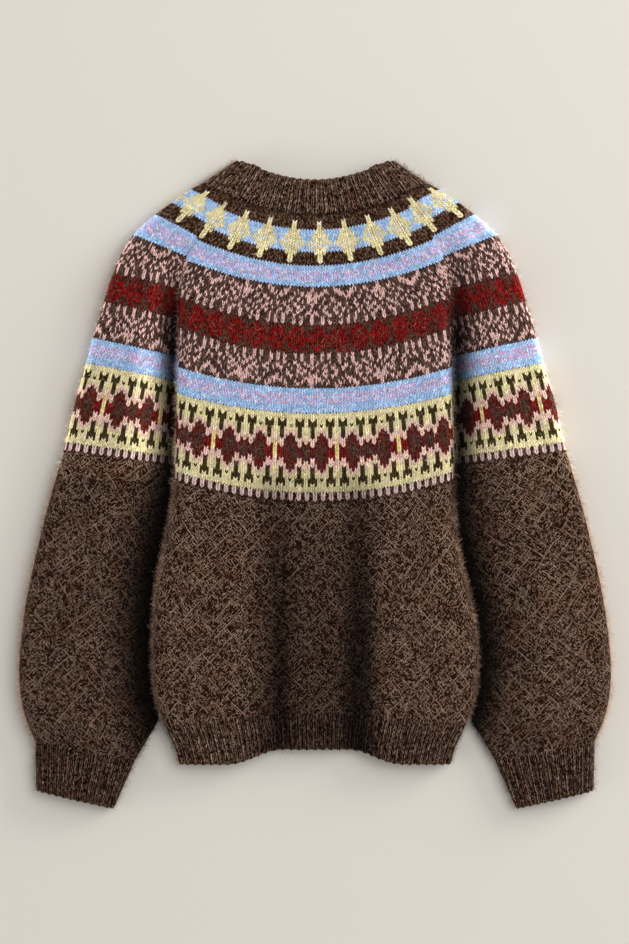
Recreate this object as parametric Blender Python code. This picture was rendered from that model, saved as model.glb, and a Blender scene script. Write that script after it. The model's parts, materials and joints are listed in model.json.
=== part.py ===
"""Fair isle cardigan with a round yoke, laid flat with its back up.

X runs across the garment, with its own left side at -X, +Y runs up to the collar, and +Z up from
the surface it lies on. The origin is the middle of the box that it fills, at that surface.
The pieces are walls of knitted cloth. The back pieces are bent over at the sides, as far as the
surface, and the front pieces lie flat between those folds, with a button band down the middle.
All sizes are in millimetres, and become metres when a mesh is made.
"""

from typing import NamedTuple

import bmesh
import bpy
import numpy as np

MM = 0.001

# Cloth
WALL = 4.0  # stranded and plain knitting
RIB_WALL = 5.0  # ribs of the hem and the cuffs
BAND_WALL = 4.5  # button bands
COLLAR_WALL = 6.0  # a doubled rib
GAP = 0.4  # left between two pieces at a seam
SEWN, FREE_START, FREE_END = (1, 1), (0, 3), (1, 0)  # half gaps at a piece's first and last rows
REACH = 4.0  # distance over which a section's direction is taken, for its inner face

# Folds that run down the sides
BODY_FOLD = 16.0  # how far across the body's side fold takes to turn from level to upright
VALLEY_STEP = 3.0  # how far the cloth between body and sleeve leans out where it is deepest
FULL_DROP = 23.0  # depth of the valley between body and sleeve at the end of the yoke
SLEEVE_EDGE = 5.5  # radius of the flattened edge that a sleeve tucks under the body
TUCK = 2.5  # how far that edge reaches under the body
SLEEVE_CREST = 0.55  # where a sleeve is highest, from its inner edge (0) to its outer edge (1)
COLLAR_TOP_HALF, COLLAR_TOP_END, COLLAR_TOP_MIDDLE = 79.0, 326.0, 305.5
COLLAR_DROP = 3.0  # how much lower the collar's top edge lies than its seam
FIRST_BEND = 0.64  # where the neck's front row has its bend, as a share of the way to its fold
CUFF_EDGE = 8.0  # radius of a cuff's inner edge

# Button bands and buttons
BAND_HALF = 16.0  # half the width of a band
BAND_TOP = 262.0  # where the bands end, at the top of the collar's front
FRONT_NECK = 222.0  # where the front yoke meets the collar, at the bands
LIFT_FROM = 45.0  # distance from the middle at which the left front starts to climb over the right
BUTTON_COUNT = 7
BUTTON_FIRST, BUTTON_LAST = -246.0, 246.0
BUTTON_RADIUS, BUTTON_THICK = 9.0, 3.0
BUTTON_SIDES = 20

# Length of the body
UNDERARM_MIDDLE = -18.5  # end of the yoke on the middle line
HEM_START_MIDDLE, HEM_START_EDGE = -228.5, -241.5
HEM_END = -281.0
HEM_RAISE = 15.0  # how far the hem rides up between the two creases
HEM_RAISE_FROM, HEM_RAISE_TO = 32.0, 88.0
FRONT_HEM_SHORTER = 2.0
CUFF_END_OUTER, CUFF_END_INNER = (-307.0, 280.5), (-326.0, 200.5)
CUFF_START_OUTER, CUFF_START_INNER = -257.0, -277.0

GREY_BROWN = (0.036, 0.021, 0.013)
RIB_BROWN = (0.045, 0.026, 0.017)
YOKE_MIX = (0.300, 0.170, 0.130)
HORN = (0.060, 0.030, 0.018)


class YokeRow(NamedTuple):
    """One row of the yoke's knitting, which curves up from the middle line to the outer fold."""

    middle: float  # Y on the middle line
    edge_rise: float  # how much higher it is where the body's side fold starts
    inner_rise: float  # and at the foot of the valley between body and sleeve
    outer_rise: float  # and at the outer fold
    edge: float  # X of the body's side
    outer: float  # X of the outer fold
    drop: float  # depth of the valley below the body
    body: float  # height of the body
    crest: float  # height of the sleeve head
    fold: float  # radius of the outer fold


YOKE = [
    YokeRow(270.5, 16.0, 16.2, 31.0, 83.0, 115.0, 0.8, 27.0, 26.4, 11.0),
    YokeRow(256.0, 20.0, 20.3, 41.0, 92.0, 128.0, 1.0, 27.5, 26.8, 11.2),
    YokeRow(241.5, 24.0, 24.5, 48.5, 101.0, 140.0, 1.3, 28.0, 27.2, 11.5),
    YokeRow(218.5, 26.0, 27.0, 53.0, 117.0, 166.0, 2.0, 29.0, 27.8, 12.0),
    YokeRow(197.5, 27.0, 29.5, 53.0, 128.0, 184.0, 5.0, 30.0, 28.6, 12.2),
    YokeRow(178.0, 28.0, 33.5, 53.0, 133.0, 195.0, 10.0, 30.6, 29.2, 12.5),
    YokeRow(159.5, 29.0, 36.5, 53.0, 136.5, 203.0, 15.5, 31.2, 29.8, 12.8),
    YokeRow(130.5, 27.0, 35.0, 53.0, 137.5, 212.5, 19.5, 32.0, 30.6, 13.0),
    YokeRow(96.5, 22.0, 32.0, 51.0, 138.5, 223.0, 21.5, 32.8, 31.4, 13.2),
    YokeRow(72.5, 20.5, 32.0, 51.0, 139.0, 229.5, 22.2, 33.2, 31.8, 13.4),
    YokeRow(27.0, 20.5, 33.5, 50.5, 140.3, 242.5, 22.7, 33.7, 32.0, 13.5),
    YokeRow(UNDERARM_MIDDLE, 22.0, 36.0, 51.0, 141.5, 253.0, FULL_DROP, 34.0, 32.0, 13.5),
]

# Y, and the X of the body's side there
BODY_SIDE = [
    (17.5, 141.5),
    (-25.0, 145.0),
    (-55.0, 151.0),
    (-90.0, 158.0),
    (-135.0, 163.0),
    (-180.0, 163.7),
    (-215.0, 160.0),
    (-241.5, 152.0),
    (-262.0, 142.5),
    (-284.0, 136.5),
]

# Y, height of the body at its sides, depth of its two creases
BODY_HEIGHT = [
    (17.5, 34.0, 0.0),
    (-60.0, 35.0, 2.5),
    (-120.0, 35.0, 7.5),
    (-180.0, 33.0, 11.5),
    (-228.5, 29.0, 12.5),
    (-255.0, 25.0, 10.0),
    (-284.0, 22.0, 7.5),
]
LEFT_CREASE, RIGHT_CREASE = -38.0, 41.0
CREASE_OUTSIDE, CREASE_INSIDE = 10.0, 15.0  # how far a crease reaches to each side
CREASES_WITHIN = 110.0  # how far from the middle line the creases are felt
BETWEEN_CREASES = 0.4  # share of the creases' depth that the cloth between them lies lower

# Y at a sleeve's outer fold, and its X there
SLEEVE_OUTER = [
    (32.5, 253.0),
    (-12.0, 266.0),
    (-70.0, 280.5),
    (-115.0, 290.0),
    (-150.0, 295.0),
    (-190.0, 297.5),
    (-215.0, 295.5),
    (-236.0, 290.5),
    (-250.0, 284.0),
    (CUFF_START_OUTER, 281.5),
]

# Y at a sleeve's inner edge, and its X there, once it has come out from under the body
SLEEVE_INNER_BELOW = [(-238.0, 155.5), (-262.0, 170.5), (CUFF_START_INNER, 179.0)]

# Y at a sleeve's inner edge, its height, and the radius of its outer fold
SLEEVE_HEIGHT = [
    (17.5, 32.0, 13.5),
    (-80.0, 34.0, 14.0),
    (-180.0, 34.0, 14.0),
    (-240.0, 31.0, 13.0),
    (CUFF_START_INNER, 25.0, 11.0),
    (CUFF_END_INNER[0], 21.0, 9.5),
]

SLEEVE_ROWS = 9
BODY_ROWS = 8
RIB_ROWS = 2


def through(table, at, column=1):
    """Smooth curve through a table's rows: a cubic between each two, with mean slopes at the rows."""
    rows = np.array(sorted(table), float)
    position, value = rows[:, 0], rows[:, column]
    slope = np.gradient(value, position)
    at = np.clip(np.asarray(at, float), position[0], position[-1])
    first = np.clip(np.searchsorted(position, at) - 1, 0, len(position) - 2)
    span = position[first + 1] - position[first]
    t = (at - position[first]) / span
    ends = value[first] * (1 + 2 * t) * (1 - t) ** 2 + value[first + 1] * t**2 * (3 - 2 * t)
    lean = slope[first] * t * (1 - t) ** 2 - slope[first + 1] * t**2 * (1 - t)
    return ends + lean * span


def smoothstep(t):
    """0 below 0, 1 above 1, and level at both."""
    t = np.clip(t, 0.0, 1.0)
    return t * t * (3 - 2 * t)


def steps(count):
    """count + 1 values from 0 to 1."""
    return np.linspace(0.0, 1.0, count + 1)


# Sections. Each is an array of points (across, height, y) from one end of a wall to the other.


def quarter(centre_x, centre_z, radius_x, radius_z, start, turn, count):
    """Arc of an ellipse from the angle start, turning by turn degrees, without its first point."""
    angle = np.radians(start + turn * steps(count)[1:])
    return centre_x + radius_x * np.cos(angle), centre_z + radius_z * np.sin(angle)


def sleeve_top(inner, outer, low, crest, end, count):
    """The top of a sleeve from its inner edge at height low, over its crest, to its outer fold."""
    t = steps(count)[1:]
    climb = low + (crest - low) * smoothstep(t / SLEEVE_CREST)
    fall = (crest - end) * smoothstep((t - SLEEVE_CREST) / (1 - SLEEVE_CREST))
    return inner + (outer - inner) * t, climb - fall


def body_rise(x, edge, rise, roll_rise, turned):
    """How much a row curves up across the body, turned being 0 on its top and 1 down its side."""
    return rise * (np.minimum(x, edge) / edge) ** 2 * (1 - turned) + roll_rise * turned


def turning():
    """How far a row has turned down at each point of the body's fold, all the way before its end."""
    return smoothstep(steps(4)[1:] / 0.75)


def yoke_section(row):
    """Half a row of the yoke's back: the body, its fold, the valley, the sleeve and the outer fold."""
    share = row.drop / FULL_DROP
    fold_height = row.body / 2 * share
    flat = row.edge - BODY_FOLD
    foot_x, foot_z = row.edge + VALLEY_STEP * share, row.body - row.drop
    top_x = flat * steps(7)
    fold_x, fold_z = quarter(flat, row.body - fold_height, BODY_FOLD, fold_height, 90, -90, 4)
    wall = steps(2)[1:]
    end_x = row.outer - row.fold
    head_x, head_z = sleeve_top(foot_x, end_x, foot_z, row.crest, 2 * row.fold, 8)
    roll_x, roll_z = quarter(end_x, row.fold, row.fold, row.fold, 90, -180, 6)
    x = [top_x, fold_x, row.edge + (foot_x - row.edge) * wall, head_x, roll_x]
    fold_foot = row.body - fold_height
    z = [np.full(8, row.body), fold_z, fold_foot + (foot_z - fold_foot) * wall, head_z, roll_z]
    x, z = np.concatenate(x), np.concatenate(z)
    turned = np.concatenate([np.zeros(8), turning(), np.ones(len(x) - 12)])
    body = body_rise(x, row.edge, row.edge_rise, row.inner_rise, turned)
    inner = foot_x - SLEEVE_EDGE
    out = np.clip((x - inner) / (row.outer - inner), 0, 1)
    on_sleeve = np.arange(len(x)) >= 12
    y = row.middle + np.where(on_sleeve, row.inner_rise + (row.outer_rise - row.inner_rise) * out, body)
    return np.stack([x, z, y], 1)


def inset(section, wall):
    """The section's inner face: each point moved in, square to the line, with its y kept.

    The line's direction is taken over a few millimetres, so a low step doesn't turn it.
    Both ends lie level on the surface, so they move straight up."""
    line = section[:, :2]
    travel = np.concatenate([[0], np.cumsum(np.linalg.norm(np.diff(line, axis=0), axis=1))])
    along = np.stack(
        [
            np.interp(travel + REACH, travel, line[:, i]) - np.interp(travel - REACH, travel, line[:, i])
            for i in range(2)
        ],
        1,
    )
    along[[0, -1]] = [-1, 0]
    along /= np.linalg.norm(along, axis=1)[:, None]
    moved = section.copy()
    moved[:, 0] += wall * along[:, 1]
    moved[:, 1] -= wall * along[:, 0]
    return moved


def both_sides(half):
    """The whole row from half of it, which starts on the middle line."""
    return np.concatenate([half[:0:-1] * [-1, 1, 1], half])


def crease_depth(x, y):
    """How far the two creases that rise from the hem sink the body's back."""
    outside = np.maximum(LEFT_CREASE - x, x - RIGHT_CREASE)
    inside = np.minimum(x - LEFT_CREASE, RIGHT_CREASE - x)
    steep = np.exp(-((np.maximum(outside, 0) / CREASE_OUTSIDE) ** 2))
    soft = BETWEEN_CREASES + (1 - BETWEEN_CREASES) * np.exp(-((inside / CREASE_INSIDE) ** 2))
    return through(BODY_HEIGHT, y, 2) * np.where(outside > 0, steep, soft)


def body_section(middle, rise, roll_rise, edge_y):
    """A row of the body's back: level, with its creases, and bent over to the surface at each side.

    rise and roll_rise are how much higher the row is at its side folds, on top and underneath."""
    edge, height = float(through(BODY_SIDE, edge_y)), float(through(BODY_HEIGHT, edge_y))
    radius = height / 2
    flat = edge - BODY_FOLD
    fold_x, fold_z = quarter(flat, radius, BODY_FOLD, radius, 90, -180, 8)
    x = np.concatenate([flat * steps(11), fold_x])
    z = np.concatenate([np.full(12, height), fold_z])
    turned = np.concatenate([np.zeros(12), turning(), np.ones(4)])
    half = np.stack([x, z, middle + body_rise(x, edge, rise, roll_rise, turned)], 1)
    return both_sides(half)


def fold_foot(edge_y):
    """X at which the body's side fold comes down to the surface and meets the fronts."""
    return float(through(BODY_SIDE, edge_y)) - BODY_FOLD


def sleeve_inner(y):
    """X of a sleeve's inner edge: tucked under the body as far as the body's side reaches."""
    below, out = SLEEVE_INNER_BELOW[0]
    under = through(BODY_SIDE, y) - TUCK
    tucked = through(BODY_SIDE, -215.0) - TUCK
    leave = tucked + (out - tucked) * smoothstep((-215.0 - y) / (-215.0 - below))
    free = through(SLEEVE_INNER_BELOW, y)
    return float(np.where(y > -215.0, under, np.where(y > below, leave, free)))


def tube_section(start, end, height, edge_radius, fold_radius, wall=0.0):
    """A closed row round a sleeve or cuff, moved in by wall.

    start and end are (y, x) at its inner and outer edges. It is flat underneath, with round edges."""
    inner, outer = start[1] + wall, end[1] - wall
    low, high = edge_radius - wall, fold_radius - wall
    low_x, low_z = quarter(inner + low, wall + low, low, low, 270, -180, 5)
    top_x, top_z = sleeve_top(
        inner + low, outer - high, wall + 2 * low, height - wall, wall + 2 * high, 8
    )
    roll_x, roll_z = quarter(outer - high, wall + high, high, high, 90, -180, 6)
    base_x = outer - high + (inner + low - outer + high) * steps(3)[1:]
    x = np.concatenate([low_x, top_x, roll_x, base_x])
    z = np.concatenate([low_z, top_z, roll_z, np.full(3, wall)])
    out = np.clip((x - start[1]) / (end[1] - start[1]), 0, 1)
    return np.stack([x, z, start[0] + (end[0] - start[0]) * out], 1)


# Meshes


def add_object(name, mesh_bmesh, material):
    mesh = bpy.data.meshes.new(name)
    bmesh.ops.recalc_face_normals(mesh_bmesh, faces=mesh_bmesh.faces)
    mesh_bmesh.to_mesh(mesh)
    mesh_bmesh.free()
    mesh.materials.append(material)
    mesh.shade_smooth()
    mesh.set_sharp_from_angle(angle=np.radians(40))
    thing = bpy.data.objects.new(name, mesh)
    bpy.context.scene.collection.objects.link(thing)
    return thing


def wall_between(name, outer, inner, material, tube=False):
    """A closed wall from two equal grids of (across, height, y): rows down the cloth, points across."""
    rows, columns = outer.shape[:2]
    made = bmesh.new()
    grids = []
    for grid in (outer, inner):
        grids.append([[made.verts.new((x * MM, y * MM, z * MM)) for x, z, y in row] for row in grid])
    face, back = grids
    around = columns if tube else columns - 1
    for i in range(rows - 1):
        for j in range(around):
            k = (j + 1) % columns
            made.faces.new((face[i][j], face[i][k], face[i + 1][k], face[i + 1][j]))
            made.faces.new((back[i][j], back[i + 1][j], back[i + 1][k], back[i][k]))
    for i in (0, rows - 1):
        for j in range(around):
            k = (j + 1) % columns
            made.faces.new((face[i][j], face[i][k], back[i][k], back[i][j]))
    if not tube:
        for j in (0, columns - 1):
            for i in range(rows - 1):
                made.faces.new((face[i][j], face[i + 1][j], back[i + 1][j], back[i][j]))
    return add_object(name, made, material)


def seam_trim(grid, ends=SEWN):
    """Moves the first row down and the last row up by half the gap that a seam keeps.

    ends holds how many such halves each takes: 1 where it is sewn on, and 0 where it is free."""
    trimmed = grid.copy()
    trimmed[0, :, 2] -= ends[0] * GAP / 2
    trimmed[-1, :, 2] += ends[1] * GAP / 2
    return trimmed


def sheet(name, sections, wall, material, ends=SEWN):
    """A piece of the back, from its rows of outer points, the first nearest the top of the collar."""
    outer = seam_trim(np.array(sections), ends)
    inner = np.array([inset(section, wall) for section in outer])
    return wall_between(name, outer, inner, material)


def lift(x):
    """How far the left front stands off the surface, so that its band lies on the right one's."""
    return (BAND_WALL + GAP) * smoothstep((x + LIFT_FROM) / (LIFT_FROM - BAND_HALF))


def plate(name, rows, side, wall, material, ends=SEWN):
    """A front piece lying flat, from rows of (x, y) running out from its button band."""
    outline = np.array(rows, float)
    outline[:, 0, 0] = BAND_HALF + GAP
    outline[:, -1, 0] -= GAP
    x = outline[:, :, 0] * side
    under = np.stack([x, np.zeros_like(x), outline[:, :, 1]], 2)
    if side < 0:
        under[:, :, 1] = lift(x)
    under = seam_trim(under, ends)
    return wall_between(name, under + [0, wall, 0], under, material)


# Pieces


def body_rows():
    """Rows of the back from the yoke to the hem: (Y in the middle, rise on top, rise underneath)."""
    t = steps(BODY_ROWS)
    end_rise = HEM_START_EDGE - HEM_START_MIDDLE
    middle = UNDERARM_MIDDLE + (HEM_START_MIDDLE - UNDERARM_MIDDLE) * t
    first = YOKE[-1]
    rise = first.edge_rise + (end_rise - first.edge_rise) * t
    roll_rise = first.inner_rise + (end_rise - first.inner_rise) * t
    return list(zip(middle, rise, roll_rise))


def back_sections():
    sections = []
    for middle, rise, roll_rise in body_rows():
        section = body_section(middle, rise, roll_rise, middle + roll_rise)
        section[:, 1] -= crease_depth(section[:, 0], section[:, 2]) * side_share(section)
        sections.append(section)
    return sections


def side_share(section):
    """1 on the body's top, 0 on its side folds, where no crease reaches."""
    return (np.abs(section[:, 0]) < CREASES_WITHIN).astype(float)


def hem_end(x):
    """Y of the hem's bottom edge, which rides up between the creases."""
    raised = 1 - smoothstep((np.abs(x) - HEM_RAISE_FROM) / (HEM_RAISE_TO - HEM_RAISE_FROM))
    return HEM_END + HEM_RAISE * raised


def hem_sections():
    sections = []
    rise = HEM_START_EDGE - HEM_START_MIDDLE
    for t in steps(RIB_ROWS):
        edge_y = HEM_START_EDGE + (HEM_END - HEM_START_EDGE) * t
        section = body_section(HEM_START_MIDDLE, rise, rise, edge_y)
        section[:, 2] += (hem_end(section[:, 0]) - section[:, 2]) * t
        section[:, 1] -= crease_depth(section[:, 0], section[:, 2]) * side_share(section)
        sections.append(section)
    return sections


def collar_rows():
    """(half width, Y at the middle of the back, at its end, at the middle of the front, drop)."""
    first = YOKE[0]
    rows = []
    for t in steps(RIB_ROWS):
        width = first.outer + (COLLAR_TOP_HALF - first.outer) * t
        back_y = first.middle + (COLLAR_TOP_MIDDLE - first.middle) * t
        end_y = first.middle + first.outer_rise
        end_y += (COLLAR_TOP_END - end_y) * t
        front_y = FRONT_NECK + (BAND_TOP - FRONT_NECK) * t
        rows.append((width, back_y, end_y, front_y, COLLAR_DROP * t))
    return rows


def collar_back_sections():
    """Rows of the collar's back: the yoke's first row drawn in, with the same round folds."""
    sections = []
    first = YOKE[0]
    seam = both_sides(yoke_section(first))
    rise = (seam[:, 2] - first.middle) / first.outer_rise
    for width, back_y, end_y, _, drop in collar_rows():
        section = seam.copy()
        flat = first.outer - first.fold
        beyond = np.abs(seam[:, 0]) - flat
        level = np.clip(seam[:, 0], -flat, flat) * (width - first.fold) / flat
        section[:, 0] = level + np.sign(seam[:, 0]) * np.maximum(beyond, 0)
        section[:, 1] -= drop * smoothstep(-beyond / flat)
        section[:, 2] = back_y + (end_y - back_y) * rise
        sections.append(section)
    return sections


def front_columns(bend, foot):
    """X of a front row's points: from the button band to where the row bends, and on to its foot."""
    body = BAND_HALF + (bend - BAND_HALF) * steps(6)
    return np.concatenate([body, bend + (foot - bend) * steps(4)[1:]])


def collar_front_rows():
    foot_rise = (yoke_section(YOKE[0])[-1, 2] - YOKE[0].middle) / YOKE[0].outer_rise
    rows = []
    for width, back_y, end_y, front_y, _ in collar_rows():
        foot = width - YOKE[0].fold
        x = front_columns(FIRST_BEND * foot, foot)
        foot_y = back_y + (end_y - back_y) * foot_rise
        rows.append(np.stack([x, front_y + (foot_y - front_y) * (x / foot) ** 2], 1))
    return rows


def yoke_front_rows():
    """Rows of a front half of the yoke, level with the back's at the outer fold."""
    rows = []
    first, last = YOKE[0], YOKE[-1]
    for row in YOKE:
        foot, _, foot_y = yoke_section(row)[-1]
        down = (first.middle - row.middle) / (first.middle - last.middle)
        middle = FRONT_NECK + (last.middle - FRONT_NECK) * down
        share = (row.drop - first.drop) / (last.drop - first.drop)
        body_foot = row.edge - BODY_FOLD
        bend = FIRST_BEND * foot + (body_foot - FIRST_BEND * foot) * share
        x = front_columns(bend, foot)
        arch = middle + (foot_y - middle) * (x / foot) ** 2
        body_y = row.middle + row.inner_rise
        on_body = middle + (body_y - middle) * (x / bend) ** 2
        on_sleeve = body_y + (foot_y - body_y) * (x - bend) / (foot - bend)
        bent = np.where(x < bend, on_body, on_sleeve)
        rows.append(np.stack([x, arch + (bent - arch) * share], 1))
    return rows


def front_rows():
    rows = []
    for middle, _, roll_rise in body_rows():
        foot = fold_foot(middle + roll_rise)
        x = BAND_HALF + (foot - BAND_HALF) * steps(6)
        rows.append(np.stack([x, middle + roll_rise * (x / foot) ** 2], 1))
    return rows


def hem_front_rows():
    rows = []
    rise = HEM_START_EDGE - HEM_START_MIDDLE
    for t in steps(RIB_ROWS):
        foot = fold_foot(HEM_START_EDGE + (HEM_END - HEM_START_EDGE) * t)
        x = BAND_HALF + (foot - BAND_HALF) * steps(8)
        start = HEM_START_MIDDLE + rise * (x / foot) ** 2
        end = hem_end(x) + FRONT_HEM_SHORTER * (1 - (x / foot) ** 2)
        rows.append(np.stack([x, start + (end - start) * t], 1))
    return rows


def sleeve_tube(name, inner_edge, outer_edge, edge_radii, wall, side, material, ends=SEWN):
    """A sleeve or cuff from the (y, x) of its inner and outer edges at each row."""
    outer, inner = [], []
    for start, end, edge_radius in zip(inner_edge, outer_edge, edge_radii):
        height = float(through(SLEEVE_HEIGHT, start[0]))
        fold = float(through(SLEEVE_HEIGHT, start[0], 2))
        outer.append(tube_section(start, end, height, edge_radius, fold))
        inner.append(tube_section(start, end, height, edge_radius, fold, wall))
    outer, inner = seam_trim(np.array(outer), ends), seam_trim(np.array(inner), ends)
    outer[:, :, 0] *= side
    inner[:, :, 0] *= side
    return wall_between(name, outer, inner, material, tube=True)


def make_sleeve(name, side, material):
    t = steps(SLEEVE_ROWS)
    first = YOKE[-1]
    start_y = first.middle + first.inner_rise
    start_y = start_y + (CUFF_START_INNER - start_y) * t
    end_y = first.middle + first.outer_rise
    end_y = end_y + (CUFF_START_OUTER - end_y) * t
    starts = [(y, sleeve_inner(y)) for y in start_y]
    starts[0] = (start_y[0], first.edge + VALLEY_STEP - SLEEVE_EDGE)
    ends = [(y, float(through(SLEEVE_OUTER, y))) for y in end_y]
    radii = SLEEVE_EDGE + (CUFF_EDGE - SLEEVE_EDGE) * smoothstep((t - 0.8) / 0.2)
    return sleeve_tube(name, starts, ends, radii, WALL, side, material)


def make_cuff(name, side, material):
    t = steps(RIB_ROWS)[:, None]
    start = np.array([CUFF_START_INNER, sleeve_inner(CUFF_START_INNER)])
    end = np.array([CUFF_START_OUTER, float(through(SLEEVE_OUTER, CUFF_START_OUTER))])
    starts = start + (np.array(CUFF_END_INNER) - start) * t
    ends = end + (np.array(CUFF_END_OUTER) - end) * t
    radii = np.full(len(t), CUFF_EDGE)
    return sleeve_tube(name, starts, ends, radii, RIB_WALL, side, material, FREE_END)


def make_band(name, low, material):
    """A straight ribbed band down the middle, with its underside at the height low."""
    made = bmesh.new()
    bottom = hem_end(0.0) + FRONT_HEM_SHORTER
    bmesh.ops.create_cube(made, size=1.0)
    size = np.array([2 * BAND_HALF, BAND_TOP - bottom, BAND_WALL])
    centre = np.array([0.0, (BAND_TOP + bottom) / 2, low + BAND_WALL / 2])
    for vertex in made.verts:
        vertex.co = (np.array(vertex.co) * size + centre) * MM
    return add_object(name, made, material)


def button_places():
    return np.linspace(BUTTON_FIRST, BUTTON_LAST, BUTTON_COUNT)


def press_buttons(band):
    """Dents the band's underside where each button presses into the cloth."""
    depth = BUTTON_THICK + GAP
    made = bmesh.new()
    for y in button_places():
        ring = bmesh.ops.create_cone(
            made,
            cap_ends=True,
            segments=BUTTON_SIDES,
            radius1=(BUTTON_RADIUS + 2 * GAP) * MM,
            radius2=(BUTTON_RADIUS + 2 * GAP) * MM,
            depth=2 * depth * MM,
        )
        bmesh.ops.translate(made, verts=ring["verts"], vec=(0, y * MM, 0))
    cutter = add_object("button_dents", made, band.data.materials[0])
    cutter.hide_render = True
    cutter.display_type = "WIRE"
    cut = band.modifiers.new("dents", "BOOLEAN")
    cut.object = cutter


def make_button(name, y, material):
    """A round button, dished on its face, turned about its own axis."""
    face, edge, back = 0.62 * BUTTON_RADIUS, BUTTON_RADIUS, 0.8 * BUTTON_RADIUS
    profile = [(0.0, 0.6), (face, 0.6), (face + 0.9, 0.0), (edge - 0.7, 0.0), (edge, 0.9)]
    profile += [(edge, 2.0), (back, BUTTON_THICK), (0.0, BUTTON_THICK)]
    made = bmesh.new()
    line = [made.verts.new((x * MM, 0, z * MM)) for x, z in profile]
    edges = [made.edges.new(pair) for pair in zip(line[:-1], line[1:])]
    bmesh.ops.spin(
        made,
        geom=line + edges,
        cent=(0, 0, 0),
        axis=(0, 0, 1),
        angle=2 * np.pi,
        steps=BUTTON_SIDES,
        use_merge=True,
    )
    bmesh.ops.remove_doubles(made, verts=made.verts, dist=0.00001)
    button = add_object(name, made, material)
    button.location = (0, y * MM, 0)
    return button


def cloth(name, colour, roughness=0.95):
    material = bpy.data.materials.new(name)
    material.use_nodes = True
    shader = material.node_tree.nodes["Principled BSDF"]
    shader.inputs["Base Color"].default_value = (*colour, 1.0)
    shader.inputs["Roughness"].default_value = roughness
    shader.inputs["Metallic"].default_value = 0.0
    return material


def clear_scene():
    for thing in list(bpy.data.objects):
        bpy.data.objects.remove(thing)


def main():
    clear_scene()
    plain = cloth("brown wool", GREY_BROWN)
    rib = cloth("brown rib", RIB_BROWN)
    yoke = cloth("fair isle wool", YOKE_MIX)
    horn = cloth("horn", HORN, 0.35)

    sheet("yoke_back", [both_sides(yoke_section(row)) for row in YOKE], WALL, yoke)
    sheet("back", back_sections(), WALL, plain)
    sheet("hem_back", hem_sections(), RIB_WALL, rib, FREE_END)
    sheet("collar_back", collar_back_sections()[::-1], COLLAR_WALL, rib, FREE_START)
    for side, word in ((-1, "left"), (1, "right")):
        plate("yoke_front_" + word, yoke_front_rows(), side, WALL, yoke)
        plate("front_" + word, front_rows(), side, WALL, plain)
        plate("hem_front_" + word, hem_front_rows(), side, RIB_WALL, rib, FREE_END)
        plate("collar_front_" + word, collar_front_rows()[::-1], side, COLLAR_WALL, rib, FREE_START)
        make_sleeve("sleeve_" + word, side, plain)
        make_cuff("cuff_" + word, side, rib)
    outer_band = make_band("band_right", 0.0, rib)
    press_buttons(outer_band)
    make_band("band_left", BAND_WALL + GAP, rib)
    for number, y in enumerate(button_places(), 1):
        make_button("button_%d" % number, y, horn)


main()
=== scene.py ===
"""Looks of a fair isle cardigan that lies flat with its back up.

X runs across the garment, with its own left side at -X, +Y up to the collar and +Z up from the
surface that it lies on. Shapes are worked out in millimetres and become metres in their meshes.
Each piece is a wall of knitting: stitches, ribs or felted strands are real relief on its outer
face, and short fibres stand out of it.
"""

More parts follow.
